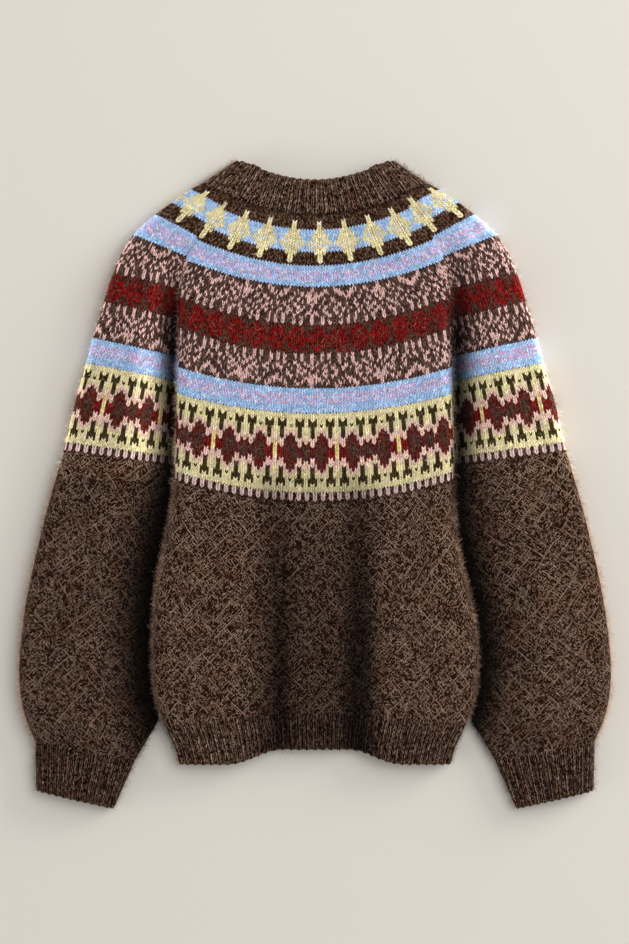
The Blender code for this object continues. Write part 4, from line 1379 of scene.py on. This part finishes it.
def hairs(faces, count, sizes, tint, share, rng):
    """Short fibres that spring from faces: each a bent strip of two quads that leans along the cloth.

    Most lie aslant, as the strands do. share of the colour is tint's, the rest is the cloth's."""
    where, ahead, out, colour, light = roots(faces, count, rng)
    angle = rng.choice([-1, 1], count) * (np.pi / 4 + rng.normal(0, ASLANT_SPREAD, count))
    angle = np.where(rng.random(count) < ANY_WAY, rng.uniform(0, np.pi, count), angle)[:, None]
    lean = np.cos(angle) * ahead + np.sin(angle) * np.cross(ahead, out)
    lean *= rng.choice([-1, 1], (count, 1))
    wide = np.cross(out, lean)
    sideways = np.abs(out[:, 2:]) < UPRIGHT_BELOW
    rim = sideways * np.where(np.abs(where[:, :1]) > RIM_FROM, 1.0, INNER_RIM)
    length = sizes.hair * rng.uniform(*LENGTHS, (count, 1)) * (1 + RIM_LONGER * rim)
    stands = rng.random((count, 1)) < np.where(sideways, *STANDING_SHARES)
    standing, lying = rng.uniform(*STANDING_RISE, (count, 1)), rng.uniform(*LYING_RISE, (count, 1))
    rise = length * np.where(stands, standing, lying)
    curl = length * rng.normal(0, CURL, (count, 1))
    strip = []
    for along, up, aside, thick in FIBRE_SHAPE:
        middle = where + lean * length * along + out * (rise * up + ROOT_CLEAR) + wide * curl * aside
        half = wide * sizes.hair_width / 2 * thick * np.where(stands, STANDING_WIDTH, 1.0)
        strip += [middle - half, middle + half]
    # Fibres take the cloth's painted light and shade; those on the rim a painted highlight
    tone = rng.uniform(*FIBRE_TONES, (count, 1)) * light * (1 + RIM_HIGHLIGHT * rim)
    cloth = Cloth()
    colours = np.clip((colour * (1 - share) + np.array(tint) * share) * tone, 0, 1)
    cloth.add_strips(np.stack(strip, 1), colours)
    return cloth


# Materials


class Socket:
    """A node's output. Python's operators on a number's output add Math nodes."""

    def __init__(self, paint, output):
        self.paint, self.output = paint, output

    def math(self, operation, *values):
        """A Math node's output."""
        return self.paint.add("ShaderNodeMath", {"operation": operation}, dict(enumerate(values)))

    def __add__(self, other):
        return self.math("ADD", self, other)

    def __sub__(self, other):
        return self.math("SUBTRACT", self, other)

    def __rsub__(self, other):
        return self.math("SUBTRACT", other, self)

    def __mul__(self, other):
        return self.math("MULTIPLY", self, other)

    def __abs__(self):
        return self.math("ABSOLUTE", self)

    def __round__(self):
        return self.math("ROUND", self)

    __radd__, __rmul__ = __add__, __mul__

    def other(self, name):
        """Another output of the same node."""
        return Socket(self.paint, self.output.node.outputs[name])

    def over(self, low, high):
        """0 up to low and 1 from high, smooth between. With low above high it falls instead."""
        ends = {"Value": self, "From Min": low, "From Max": high}
        return self.paint.add("ShaderNodeMapRange", {"interpolation_type": "SMOOTHSTEP"}, ends)


class Paint:
    """A material whose nodes are added by one method. Values that never change go on its shader."""

    def __init__(self, name, **constants):
        self.material = bpy.data.materials.new(name)
        self.material.use_nodes = True
        self.tree = self.material.node_tree
        self.shader = self.tree.nodes["Principled BSDF"]
        for socket, value in constants.items():
            self.shader.inputs[socket.replace("_", " ")].default_value = value

    def add(self, kind, settings=None, inputs=None, output=0):
        """A new node's output: its settings are set first, then its inputs are filled or linked."""
        node = self.tree.nodes.new(kind)
        for name, value in (settings or {}).items():
            setattr(node, name, value)
        for place, value in (inputs or {}).items():
            if isinstance(value, Socket):
                self.tree.links.new(value.output, node.inputs[place])
            else:
                node.inputs[place].default_value = value
        return Socket(self, node.outputs[output])

    def attribute(self, name, output="Fac"):
        """What the mesh holds under that name."""
        return self.add("ShaderNodeAttribute", {"attribute_name": name}, output=output)

    def where(self):
        """Place in metres."""
        return self.add("ShaderNodeTexCoord", output="Object")

    def parts(self, vector):
        """A vector's three numbers."""
        return [self.add("ShaderNodeSeparateXYZ", None, {0: vector}, axis) for axis in (0, 1, 2)]

    def strands(self):
        """Both of the piece's own coordinates along its strands or stitches."""
        return self.parts(self.add("ShaderNodeUVMap", {"uv_map": "strands"}))[:2]

    def join(self, *values):
        """A vector from three numbers."""
        return self.add("ShaderNodeCombineXYZ", None, dict(enumerate(values)))

    def noise(self, scale, detail=2.0):
        """Smooth noise around 0.5, with about scale bumps to the metre."""
        inputs = {"Vector": self.where(), "Scale": scale, "Detail": detail}
        return self.add("ShaderNodeTexNoise", None, inputs)

    def mix(self, share, first, second):
        """Two colours mixed by share."""
        return self.add("ShaderNodeMix", {"data_type": "RGBA"}, {0: share, 6: first, 7: second}, 2)

    def shade(self, colour, amount):
        """A colour made darker or lighter by a number."""
        scale = {0: colour, "Scale": amount}
        return self.add("ShaderNodeVectorMath", {"operation": "SCALE"}, scale)

    def finish(self, colour, height, distance, roughness=None):
        """The finished material: its colour, and bumps as high as height times distance in metres."""
        links = self.tree.links
        links.new(colour.output, self.shader.inputs["Base Color"])
        bump = self.add("ShaderNodeBump", None, {"Distance": distance, "Height": height})
        links.new(bump.output, self.shader.inputs["Normal"])
        if roughness:
            links.new(roughness.output, self.shader.inputs["Roughness"])
        return self.material


def wool_paint(name, yarns):
    """Dull wool with a faint sheen."""
    return Paint(
        name,
        Roughness=0.92,
        Specular_IOR_Level=0.06,
        Sheen_Weight=SHEEN,
        Sheen_Roughness=0.45,
        Sheen_Tint=(*yarns.haze, 1.0),
    )


def strand_colour(paint, yarns, light):
    """Colour of the pale strands: redder in some places, and as light as the cloth's painted light and shade leave it
    there.
    """
    warm = paint.noise(38.0).over(0.45, 0.75)
    return paint.shade(paint.mix(warm, (*yarns.strand, 1.0), (*yarns.warm_strand, 1.0)), light)


def stitch_material(name, yarns, share):
    """Knitted wool: fibres lie pale along the middle of each leg, with painted shade between stitches.

    share is how much those fibres hide the yarn's own colour, from 0 to 1."""
    paint = wool_paint(name, yarns)
    wale, row = paint.strands()

    # A pale stroke along each leg, bent and broken up by noise, and fainter on some legs
    drift = (paint.noise(330.0) - 0.5) * (0.25 + 0.6 * share)
    leg = abs(wale - round(wale)) + drift + (paint.noise(900.0, 1.0) - 0.5) * 0.25
    which = paint.join((wale * 2.0).math("FLOOR", wale * 2.0), row.math("FLOOR", row), 0.0)
    chance = paint.add("ShaderNodeTexWhiteNoise", {"noise_dimensions": "3D"}, {"Vector": which})
    run = paint.noise(260.0).over(0.42 - 0.08 * share, 0.64 - 0.1 * share)
    run = run * (0.3 + 0.3 * share + (0.7 - 0.3 * share) * chance)
    stroke = abs(leg - 0.25 + 0.05 * share).over(0.1, 0.03) * run

    # Painted shade in the gaps between the legs and between the rows and on low relief, and grain
    from_middle = abs(row - row.math("FLOOR", row) - 0.5)
    gap = abs(leg - 0.25).over(0.13, 0.25) * 0.14 + from_middle.over(0.3, 0.5) * 0.25
    relief = paint.attribute("relief")
    grain = paint.noise(620.0, 3.0) - 0.5
    depth = SHADE_LOW + SHADE_RANGE * relief - gap + 0.9 * grain + (0.3 - 0.3 * share) * stroke
    colour = paint.shade(paint.attribute("yarn", "Color"), depth)
    strand = strand_colour(paint, yarns, paint.attribute("worn"))
    colour = paint.mix(stroke * (0.35 + relief).over(0.2, 1.0 - 0.25 * share) * share, colour, strand)
    return paint.finish(colour, stroke * 0.5 + paint.noise(1500.0, 3.0) * 0.9, 0.0004)


def dashes(paint, place, scale, shift):
    """Short bent strokes, one in each cell of a plane, each turned roughly along one of its axes.

    Gives how far a point is from the stroke's middle line, how much it is within the stroke's
    length, and how bright the stroke is."""
    moved = paint.join(place[0] + shift, place[1] + shift, 0.0)
    cell = paint.add(
        "ShaderNodeTexVoronoi",
        {"voronoi_dimensions": "2D"},
        {"Vector": moved, "Scale": scale, "Randomness": 0.6},
        "Position",
    )
    chance = paint.parts(cell.other("Color"))
    from_middle = paint.add("ShaderNodeVectorMath", {"operation": "SUBTRACT"}, {0: moved, 1: cell})
    angle = round(chance[0]) * (np.pi / 2) + (chance[1] - 0.5) * 0.9
    turned = {"Vector": from_middle, "Angle": angle}
    rotated = paint.add("ShaderNodeVectorRotate", {"rotation_type": "Z_AXIS"}, turned)
    along, aside, _ = paint.parts(rotated)
    bent = abs(aside + along * along * (chance[2] - 0.5) * 1.3 * scale)
    bright = chance[1].math("FRACT", chance[1] * 7.0)
    return bent, abs(along * scale).over(0.7, 0.5), bright


def felt_material(yarns):
    """Felted wool: a tangle of short bent strands, with long ones aslant, and painted shade between them."""
    paint = wool_paint("brown_wool_finish", yarns)
    first, second = paint.strands()
    bends = paint.noise(230.0), paint.noise(190.0)
    places = [place + (bend - 0.5) * 0.5 for place, bend in zip((first, second), bends)]

    # Layers of short strands: level is how high they stand, strokes how pale their tops are
    level = strokes = None
    for scale, shift in TANGLE:
        aside, within, bright = dashes(paint, places, scale, shift)
        body = aside.over(0.3, 0.06) * within
        stroke = aside.over(STROKE_EDGE, STROKE_CORE) * within * bright.over(0.37, 0.98)
        level = body if level is None else level.math("MAXIMUM", level, body)
        strokes = stroke if strokes is None else strokes.math("MAXIMUM", strokes, stroke)

    # Long strands across both ways, broken up by noise
    for place, scale in zip(places, LONG_STRANDS):
        across = place * 0.24
        line = abs(across - round(across)).over(0.055, 0.02) * paint.noise(scale, 1.0).over(0.46, 0.58)
        strokes = strokes.math("MAXIMUM", strokes, line * 0.85)

    # Painted shade: the wool between the strands is darker where it lies lower
    grain = paint.noise(950.0) - 0.5
    depth = (level * 0.5 + 0.1 * paint.attribute("relief") + 1.2 * grain).over(-0.2, 1.15)
    colour = paint.shade(paint.attribute("yarn", "Color"), depth * depth * 1.1 + 0.05)
    strand = strand_colour(paint, yarns, paint.attribute("worn") * FELT_STRAND)
    colour = paint.mix(strokes * (0.08 + 0.8 * strokes), colour, strand)
    return paint.finish(colour, strokes * 0.6 + level * 0.8 + paint.noise(1300.0, 3.0) * 0.6, 0.0006)


def hair_material(yarns):
    """Loose fibres: the cloth's own wool, a little uneven."""
    paint = wool_paint("loose_fibre", yarns)
    colour = paint.shade(paint.attribute("yarn", "Color"), 0.8 + 0.4 * paint.noise(700.0))
    return paint.finish(colour, paint.noise(2000.0), 0.0001)


def horn_material():
    """Polished horn: streaks drawn out along one way, under a thin coat."""
    paint = Paint("horn_finish", Specular_IOR_Level=0.5, Coat_Weight=0.35, Coat_Roughness=0.2)
    stretched = paint.add("ShaderNodeMapping", None, {0: paint.where(), "Scale": (60.0, 420.0, 200.0)})
    streak = paint.add("ShaderNodeTexNoise", None, {"Vector": stretched, "Scale": 1.0, "Detail": 4.0})
    colour = paint.shade(paint.attribute("yarn", "Color"), 0.55 + 0.95 * streak)
    return paint.finish(colour, streak * 0.3, 0.0002, 0.28 + 0.25 * streak)


def floor_material(colour):
    """Smooth pale paint, a little uneven."""
    paint = Paint("floor_paint", Roughness=0.85, Specular_IOR_Level=0.2)
    darker = tuple(FLOOR_TINT * part for part in colour)
    tint = paint.mix(paint.noise(3.0) * 0.06, (*colour, 1.0), (*darker, 1.0))
    return paint.finish(tint, paint.noise(900.0), 0.00002)


# What a user may change


def colour_of(name, description, *shown):
    """A colour that can be changed, from the 0 to 255 values that a screen shows."""
    return FloatVectorProperty(
        name=name,
        description=description,
        default=display(*shown),
        size=3,
        subtype="COLOR",
        min=0.0,
        max=1.0,
    )


def size_of(name, description, millimetres):
    """A length that can be changed."""
    return FloatProperty(
        name=name,
        description=description,
        default=millimetres * MM,
        min=0.0,
        precision=5,
        subtype="DISTANCE",
        unit="LENGTH",
    )


class CardiganYarns(PropertyGroup):
    """Colours of the wool, the buttons and the floor."""

    brown: colour_of("Brown", "Ground of the yoke, and the ribs", 57, 30, 14)
    felt: colour_of("Felted brown", "Body and sleeves", 70, 36, 15)
    lace_brown: colour_of("Lace brown", "Ground of the two lace bands", 84, 59, 54)
    strand: colour_of("Strand", "Pale top of a felted strand", 200, 168, 145)
    warm_strand: colour_of("Warm strand", "The same, where it is redder", 186, 140, 114)
    haze: colour_of("Haze", "Sheen of the loose fibres", 168, 118, 88)
    yellow: colour_of("Yellow", "Stars and tulip band", 242, 229, 168)
    tip: colour_of("Pale tip", "Tips of the stars", 236, 228, 196)
    blue: colour_of("Light blue", "Two plain bands and behind the stars", 158, 202, 246)
    pale_blue: colour_of("Pale blue", "Palest flecks in the blue bands", 234, 234, 246)
    lilac: colour_of("Lilac", "Flecks in the blue bands", 202, 172, 232)
    mauve: colour_of("Mauve", "Reddest flecks in the blue bands", 230, 164, 194)
    pink: colour_of("Pink", "Lace and tulips", 236, 190, 182)
    pale_pink: colour_of("Pale pink", "Ticks below the yoke", 232, 200, 196)
    red: colour_of("Red", "Middle band", 142, 17, 18)
    dark_red: colour_of("Dark red", "Shading of the red", 96, 20, 16)
    olive: colour_of("Olive", "Stems of the tulips", 66, 60, 30)
    gold: colour_of("Gold", "Bars between the tulips", 232, 190, 110)
    horn: colour_of("Horn", "Buttons", 74, 50, 36)
    floor: colour_of("Floor", "Surface that it lies on", 214, 209, 200)


class CardiganSizes(PropertyGroup):
    """Sizes of the cloth's relief and of its loose fibres."""

    relief: size_of("Strand relief", "Height of the felted strands", 0.6)
    pitch: size_of("Strand pitch", "Distance between felted strands", 2.8)
    rib: size_of("Rib depth", "Depth of the purl stitches between ribs", 1.9)
    hair: size_of("Fibre length", "Longest loose fibre, about", 4.6)
    hair_width: size_of("Fibre width", "Width of a loose fibre", 0.36)
    fibres: FloatProperty(
        name="Fibres",
        description="Loose fibres on each square centimetre of felted cloth",
        default=9.0,
        min=0.0,
    )
    key: FloatProperty(
        name="Key light",
        description="Strength of the softbox",
        default=124.0,
        min=0.0,
        subtype="POWER",
        unit="POWER",
    )
    fill: FloatProperty(
        name="Fill light", description="Strength of the even light", default=0.45, min=0.0
    )


class Plan(NamedTuple):
    """Sizes in millimetres, and colours by letter, from what the user has set."""

    relief: float
    pitch: float
    rib: float
    hair: float
    hair_width: float
    fibres: float  # on each square centimetre
    wools: dict
    yarns: CardiganYarns


def plan_of(scene):
    """Sizes turned into millimetres, and a colour for each letter of the mixes."""
    sizes, yarns = scene.cardigan_sizes, scene.cardigan_yarns
    wools = {letter: np.array(getattr(yarns, name)) for letter, name in WOOLS.items()}
    wools["t"] = wools["k"] * 0.7 + np.array(yarns.strand) * 0.3
    # Brown darkened, for painted shade in the purl wales and dark flecks in the mixes
    wools["X"] = wools["k"] * 0.3
    lengths = [getattr(sizes, name) / MM for name in ("relief", "pitch", "rib", "hair", "hair_width")]
    return Plan(*lengths, sizes.fibres, wools, yarns)


# Pieces


def cut_of(form, first, last):
    """Width, length and area in metres of the flat cloth between two places on a form."""
    grid = form.at(first + (last - first) * steps(24), steps(72)) * MM
    along, down = np.diff(grid, axis=1), np.diff(grid, axis=0)
    width = np.linalg.norm(along, axis=2).sum(axis=1).max()
    length = np.linalg.norm(down, axis=2).sum(axis=0).max()
    area = np.linalg.norm(np.cross(along[:-1], down[:, :-1]), axis=2).sum()
    return float(width), float(length), float(area)


def lay(cloth, name, node, slot, form, rests_on, span=None, fuzz=None):
    """Makes a piece from its cloth and says what it is, with its loose fibres if it has any."""
    piece = cloth.make(name, bpy.data.materials[f"{slot}_finish"])
    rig.ride(piece, "root")
    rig.replaces(piece, node)
    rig.slot(piece, slot)
    with_pieces = []
    if fuzz:
        fibres = fuzz.make(f"{name}_fibres", bpy.data.materials["loose_fibre"])
        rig.ride(fibres, "root")
        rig.slot(fibres, slot)
        with_pieces.append(fibres)
    width, length, area = cut_of(form, *(span or (0.0, form.places[-1])))
    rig.sheet(
        piece,
        flat=(width, length),
        held="laid",
        rests_on=rests_on,
        area=min(area, width * length),
        with_pieces=with_pieces,
    )
    return piece


def fibres_on(face, plan, rng):
    """Loose fibres on felted cloth, as many as its area needs."""
    across = np.linalg.norm(np.diff(face.base, axis=1), axis=2).sum(axis=1).mean()
    down = np.linalg.norm(np.diff(face.base, axis=0), axis=2).sum(axis=0).mean()
    count = int(plan.fibres * across * down / 100)
    return hairs([face], count, plan, plan.yarns.strand, 0.55, rng)


def rumpled(points):
    """The back's own unevenness: a sum of sine waves 30 to 500 mm long, only on its upper side."""
    x, y = points[..., 0], points[..., 1]
    wave = np.sin(x / 31 + 1.3 * np.sin(y / 57 + 0.4)) + np.sin(y / 39 - x / 83 + 2.1)
    wave += 0.8 * np.sin(x / 19 - y / 27 + 0.7) + 0.7 * np.sin((x + y) / 14 + 4.0)
    points[..., 2] += RUMPLE * wave * smoothstep((points[..., 2] - RUMPLE_FROM) / TOP_RUN)
    return points


def creased(points):
    """The body's back, uneven, with its two creases pressed in."""
    on_top = smoothstep((points[..., 2] - CREASE_FROM) / TOP_RUN)
    points = rumpled(points)
    deep = from_table(BODY_HEIGHT, points[..., 1], 2)
    points[..., 2] -= deep * crease_shape(points[..., 0]) * on_top
    return points


def colourwork(form, bands, style, plan, rng, shape=None):
    """Bands of stitches in one cloth, each starting under the one before."""
    cloth = Cloth()
    faces = [knit(cloth, form, band, style, plan.wools, rng, band.top > 0, shape) for band in bands]
    close(cloth, faces, form, (bands[0].top, bands[-1].bottom), WALL, plan.wools["k"], shape)
    return cloth, faces


def ribbed(form, wall, plan, rng, free, centre=0.0, detail=2, shape=None):
    """Ribs down a whole form: each a chain of knit stitches, with a sunk purl wale between, painted dark as shade.

    free is 1 where the form's last row is its free edge, and -1 where its first is."""
    rows = int(round(form.places[-1] / RIB_ROW))
    start, end = FREE_TRIM * (free < 0), form.places[-1] - FREE_TRIM * (free > 0)
    band = Band(start, end, centre, RIB_WIDTHS, ("CU",) * rows)
    style = RIB_STITCH._replace(rib=plan.rib, scallop=free * SCALLOP, detail=detail)
    cloth = Cloth()
    face = knit(cloth, form, band, style, plan.wools, rng, free > 0, shape)
    close(cloth, [face], form, (start, end), wall, plan.wools["t"], shape, free)
    return cloth, face


def felted(form, seen, spacing, plan, rng, shape=None):
    """A piece of the plain brown cloth."""
    cloth = Cloth()
    face = felt(cloth, form, seen, spacing, plan, plan.wools["F"], rng, shape)
    close(cloth, [face], form, (0.0, form.places[-1]), WALL, plan.wools["F"], shape)
    return cloth, face


def yarn_materials(plan):
    """The four wool materials, made once. The ribs' strands show much more than the yoke's."""
    if "loose_fibre" not in bpy.data.materials:
        stitch_material("fair_isle_wool_finish", plan.yarns, 0.12)
        stitch_material("brown_rib_finish", plan.yarns, 0.85)
        felt_material(plan.yarns)
        hair_material(plan.yarns)


def begin(context, seed):
    """The plan, this piece's own random numbers, and the materials."""
    plan = plan_of(context.scene)
    yarn_materials(plan)
    return plan, np.random.default_rng(seed)


class CARDIGAN_OT_yoke_back(Operator):
    """Knit the yoke's back with the sleeve heads, in two pieces"""

    bl_idname = "cardigan.yoke_back"
    bl_label = "Yoke back"

    def execute(self, context):
        plan, rng = begin(context, 11)
        form, under = yoke_form(), ["yoke_front_left", "yoke_front_right"]
        halves = (("upper", YOKE_BANDS[:UPPER_BANDS]), ("lower", YOKE_BANDS[UPPER_BANDS:]))
        for half, bands in halves:
            cloth, faces = colourwork(form, bands, Knit(), plan, rng, rumpled)
            fuzz = hairs(faces, YOKE_FIBRES, plan, plan.yarns.strand, 0.3, rng)
            span = (bands[0].top, bands[-1].bottom)
            name = f"yoke_back_{half}"
            lay(cloth, name, "yoke_back", "fair_isle_wool", form, under, span, fuzz)
        return {"FINISHED"}


class CARDIGAN_OT_yoke_fronts(Operator):
    """Knit the yoke's two front halves in the same bands"""

    bl_idname = "cardigan.yoke_fronts"
    bl_label = "Yoke fronts"

    def execute(self, context):
        plan, rng = begin(context, 12)
        for side, name in SIDES:
            form = yoke_front_form(side)
            cloth, _ = colourwork(form, YOKE_BANDS, HIDDEN_STITCH, plan, rng)
            lay(cloth, f"yoke_front_{name}", f"yoke_front_{name}", "fair_isle_wool", form, [])
        return {"FINISHED"}


class CARDIGAN_OT_back(Operator):
    """Felt the body's back, bent over at both sides and creased from the hem"""

    bl_idname = "cardigan.back"
    bl_label = "Back"

    def execute(self, context):
        plan, rng = begin(context, 13)
        form = back_form()
        cloth, face = felted(form, (0.0, 1.0), FINE_FELT, plan, rng, creased)
        fuzz = fibres_on(face, plan, rng)
        lay(cloth, "back", "back", "brown_wool", form, ["front_left", "front_right"], None, fuzz)
        return {"FINISHED"}


class CARDIGAN_OT_fronts(Operator):
    """Felt the body's two fronts"""

    bl_idname = "cardigan.fronts"
    bl_label = "Fronts"

    def execute(self, context):
        plan, rng = begin(context, 14)
        for side, name in SIDES:
            form = front_form(side)
            cloth, _ = felted(form, (0.0, 1.0), HIDDEN_FELT, plan, rng)
            lay(cloth, f"front_{name}", f"front_{name}", "brown_wool", form, [])
        return {"FINISHED"}


class CARDIGAN_OT_sleeves(Operator):
    """Felt both sleeves as tubes that lie flat"""

    bl_idname = "cardigan.sleeves"
    bl_label = "Sleeves"

    def execute(self, context):
        plan, rng = begin(context, 15)
        for side, name in SIDES:
            form = sleeve_form(side)
            seen = (0.0, SLEEVE_SEEN) if side > 0 else (1 - SLEEVE_SEEN, 1.0)
            cloth, face = felted(form, seen, FINE_FELT, plan, rng)
            fuzz = fibres_on(face, plan, rng)
            lay(cloth, f"sleeve_{name}", f"sleeve_{name}", "brown_wool", form, [], None, fuzz)
        return {"FINISHED"}


class CARDIGAN_OT_collar(Operator):
    """Rib the collar's back and its two front halves"""

    bl_idname = "cardigan.collar"
    bl_label = "Collar"

    def execute(self, context):
        plan, rng = begin(context, 16)
        form = collar_form()
        cloth, face = ribbed(form, COLLAR_WALL, plan, rng, -1, detail=3)
        fuzz = hairs([face], COLLAR_FIBRES, plan, plan.yarns.strand, 0.35, rng)
        under = ["collar_front_left", "collar_front_right"]
        lay(cloth, "collar_back", "collar_back", "brown_rib", form, under, None, fuzz)
        for side, name in SIDES:
            form = collar_front_form(side)
            cloth, _ = ribbed(form, RIB_WALL, plan, rng, -1)
            lay(cloth, f"collar_front_{name}", f"collar_front_{name}", "brown_rib", form, [])
        return {"FINISHED"}


class CARDIGAN_OT_hem(Operator):
    """Rib the hem's back and its two front halves"""

    bl_idname = "cardigan.hem"
    bl_label = "Hem"

    def execute(self, context):
        plan, rng = begin(context, 17)
        form = hem_form()
        cloth, face = ribbed(form, RIB_WALL, plan, rng, 1, detail=3, shape=creased)
        fuzz = hairs([face], HEM_FIBRES, plan, plan.yarns.strand, 0.35, rng)
        under = ["hem_front_left", "hem_front_right"]
        lay(cloth, "hem_back", "hem_back", "brown_rib", form, under, None, fuzz)
        for side, name in SIDES:
            form = hem_front_form(side)
            cloth, _ = ribbed(form, WALL, plan, rng, 1)
            lay(cloth, f"hem_front_{name}", f"hem_front_{name}", "brown_rib", form, [])
        return {"FINISHED"}


class CARDIGAN_OT_cuffs(Operator):
    """Rib both cuffs as tubes that lie flat"""

    bl_idname = "cardigan.cuffs"
    bl_label = "Cuffs"

    def execute(self, context):
        plan, rng = begin(context, 18)
        for side, name in SIDES:
            form = cuff_form(side)
            cloth, face = ribbed(form, RIB_WALL, plan, rng, 1, detail=3)
            fuzz = hairs([face], CUFF_FIBRES, plan, plan.yarns.strand, 0.35, rng)
            lay(cloth, f"cuff_{name}", f"cuff_{name}", "brown_rib", form, [], None, fuzz)
        return {"FINISHED"}


class CARDIGAN_OT_bands(Operator):
    """Rib the two button bands, the right one over the left"""

    bl_idname = "cardigan.bands"
    bl_label = "Button bands"

    def execute(self, context):
        plan, rng = begin(context, 19)
        for name, low in (("right", 0.0), ("left", BAND_WALL + GAP)):
            form = band_form(low)
            cloth, _ = ribbed(form, BAND_WALL, plan, rng, 1, detail=1)
            under = ["band_right"] if name == "left" else []
            lay(cloth, f"band_{name}", f"band_{name}", "brown_rib", form, under)
        return {"FINISHED"}


def button(cloth, y, horn):
    """A round button, facing down, turned about its middle.

    Its face rises from a dished middle to a rounded rim, and four holes are bell-shaped dips with painted shade."""
    angle = -2 * np.pi * steps(BUTTON_SIDES)
    share, turn = np.meshgrid(BUTTON_RINGS, angle, indexing="ij")
    x, across = BUTTON_RADIUS * share * np.cos(turn), BUTTON_RADIUS * share * np.sin(turn)
    dish = BUTTON_DISH * (1 - smoothstep(share / DISH_END))
    past = np.clip((share - BUTTON_EDGE) / (1 - BUTTON_EDGE), 0, 1)
    edge = BUTTON_THICK / 2 * (1 - np.sqrt(1 - past**2))
    holes = np.zeros(share.shape)
    for place in np.radians((45, 135, 225, 315)):
        away = np.hypot(x - HOLE_OUT * np.cos(place), across - HOLE_OUT * np.sin(place))
        holes += np.exp(-((away / HOLE_RADIUS) ** 4))
    # Painted shade in the holes
    shade = np.clip(1 - holes, HOLE_SHADE, 1)
    colours = np.array(horn) * ((shade[:-1, :-1] + shade[1:, 1:]) / 2)[..., None]
    front = np.stack([x, y + across, FLOOR_CLEAR + dish + edge + HOLE_DEPTH * holes], -1)
    cloth.add(front, colours)
    back = np.stack([x, y + across, FLOOR_CLEAR + BUTTON_THICK - edge], -1)
    cloth.add(back[:, ::-1], horn)


class CARDIGAN_OT_buttons(Operator):
    """Turn the seven horn buttons"""

    bl_idname = "cardigan.buttons"
    bl_label = "Buttons"

    def execute(self, context):
        paint, horn = horn_material(), context.scene.cardigan_yarns.horn
        places = np.linspace(BUTTON_LAST, BUTTON_FIRST, BUTTON_COUNT)
        for number, y in enumerate(places, 1):
            cloth = Cloth()
            button(cloth, y, horn)
            piece = cloth.make(f"button_{number}", paint)
            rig.ride(piece, "root")
            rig.replaces(piece, f"button_{number}")
            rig.slot(piece, "horn")
        return {"FINISHED"}


def softbox(scene, lamp, power):
    """Sets up one of the lamps."""
    light = bpy.data.lights.new(lamp.name, "AREA")
    light.energy = power
    light.shape, light.size = "SQUARE", lamp.size
    light.color = LAMP_COLOUR
    box = bpy.data.objects.new(lamp.name, light)
    box.location = lamp.place
    box.rotation_euler = (-Vector(lamp.place)).to_track_quat("-Z", "Y").to_euler()
    scene.collection.objects.link(box)


class CARDIGAN_OT_stage(Operator):
    """Set out the floor, the light and the camera straight above"""

    bl_idname = "cardigan.stage"
    bl_label = "Stage"

    def execute(self, context):
        scene, sizes = context.scene, context.scene.cardigan_sizes
        half = FLOOR_WIDTH / 2
        mesh = bpy.data.meshes.new("floor")
        corners = [(-half, -half), (half, -half), (half, half), (-half, half)]
        mesh.from_pydata([(x, y, FLOOR_LEVEL) for x, y in corners], [], [(0, 1, 2, 3)])
        mesh.materials.append(floor_material(scene.cardigan_yarns.floor))
        floor = bpy.data.objects.new("floor", mesh)
        scene.collection.objects.link(floor)
        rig.stage(floor)

        for lamp in LAMPS:
            softbox(scene, lamp, sizes.key * lamp.share)

        world = bpy.data.worlds.new("studio")
        world.use_nodes = True
        background = world.node_tree.nodes["Background"]
        background.inputs["Color"].default_value = FILL_COLOUR
        background.inputs["Strength"].default_value = sizes.fill
        scene.world = world

        low, high = (np.array(corner) for corner in CAD_BOX)
        centre = (low + high) / 2
        lens = bpy.data.cameras.new("camera")
        lens.lens, lens.sensor_width = LENS, SENSOR
        lens.clip_start, lens.clip_end = 0.1, 20.0
        camera = bpy.data.objects.new("camera", lens)
        camera.location = (centre[0] + CAMERA_SIDEWAYS, centre[1] + CAMERA_UP, CAMERA_HEIGHT)
        scene.collection.objects.link(camera)
        scene.camera = camera
        scene.view_settings.view_transform = "Standard"
        return {"FINISHED"}


class CARDIGAN_PT_panel(Panel):
    """Colours and sizes, and a button for each piece"""

    bl_idname = "CARDIGAN_PT_panel"
    bl_label = "Cardigan"
    bl_space_type = "VIEW_3D"
    bl_region_type = "UI"
    bl_category = "Cardigan"

    def draw(self, context):
        for group in (context.scene.cardigan_yarns, context.scene.cardigan_sizes):
            column = self.layout.column()
            for name in group.__annotations__:
                column.prop(group, name)
        for operator in OPERATORS:
            self.layout.operator(operator.bl_idname)


GROUPS = (CardiganYarns, CardiganSizes)
OPERATORS = (
    CARDIGAN_OT_yoke_back,
    CARDIGAN_OT_yoke_fronts,
    CARDIGAN_OT_back,
    CARDIGAN_OT_fronts,
    CARDIGAN_OT_sleeves,
    CARDIGAN_OT_collar,
    CARDIGAN_OT_hem,
    CARDIGAN_OT_cuffs,
    CARDIGAN_OT_bands,
    CARDIGAN_OT_buttons,
    CARDIGAN_OT_stage,
)
CLASSES = (*GROUPS, *OPERATORS, CARDIGAN_PT_panel)


def register():
    """Adds the classes, and their settings to every scene."""
    for cls in CLASSES:
        bpy.utils.register_class(cls)
    bpy.types.Scene.cardigan_yarns = PointerProperty(type=CardiganYarns)
    bpy.types.Scene.cardigan_sizes = PointerProperty(type=CardiganSizes)


def unregister():
    """Takes them away again."""
    del bpy.types.Scene.cardigan_sizes, bpy.types.Scene.cardigan_yarns
    for cls in reversed(CLASSES):
        bpy.utils.unregister_class(cls)


def main():
    """Makes every piece and the stage in order, and writes down the boxes they fill."""
    register()
    for operator in OPERATORS:
        group, name = operator.bl_idname.split(".")
        getattr(getattr(bpy.ops, group), name)()
    boxes = {"cad": CAD_BOX, "visual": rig.bounds()}
    plain = {name: [[float(v) for v in corner] for corner in box] for name, box in boxes.items()}
    with open("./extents.json", "w") as file:
        json.dump(plain, file)


if __name__ == "__main__":
    main()
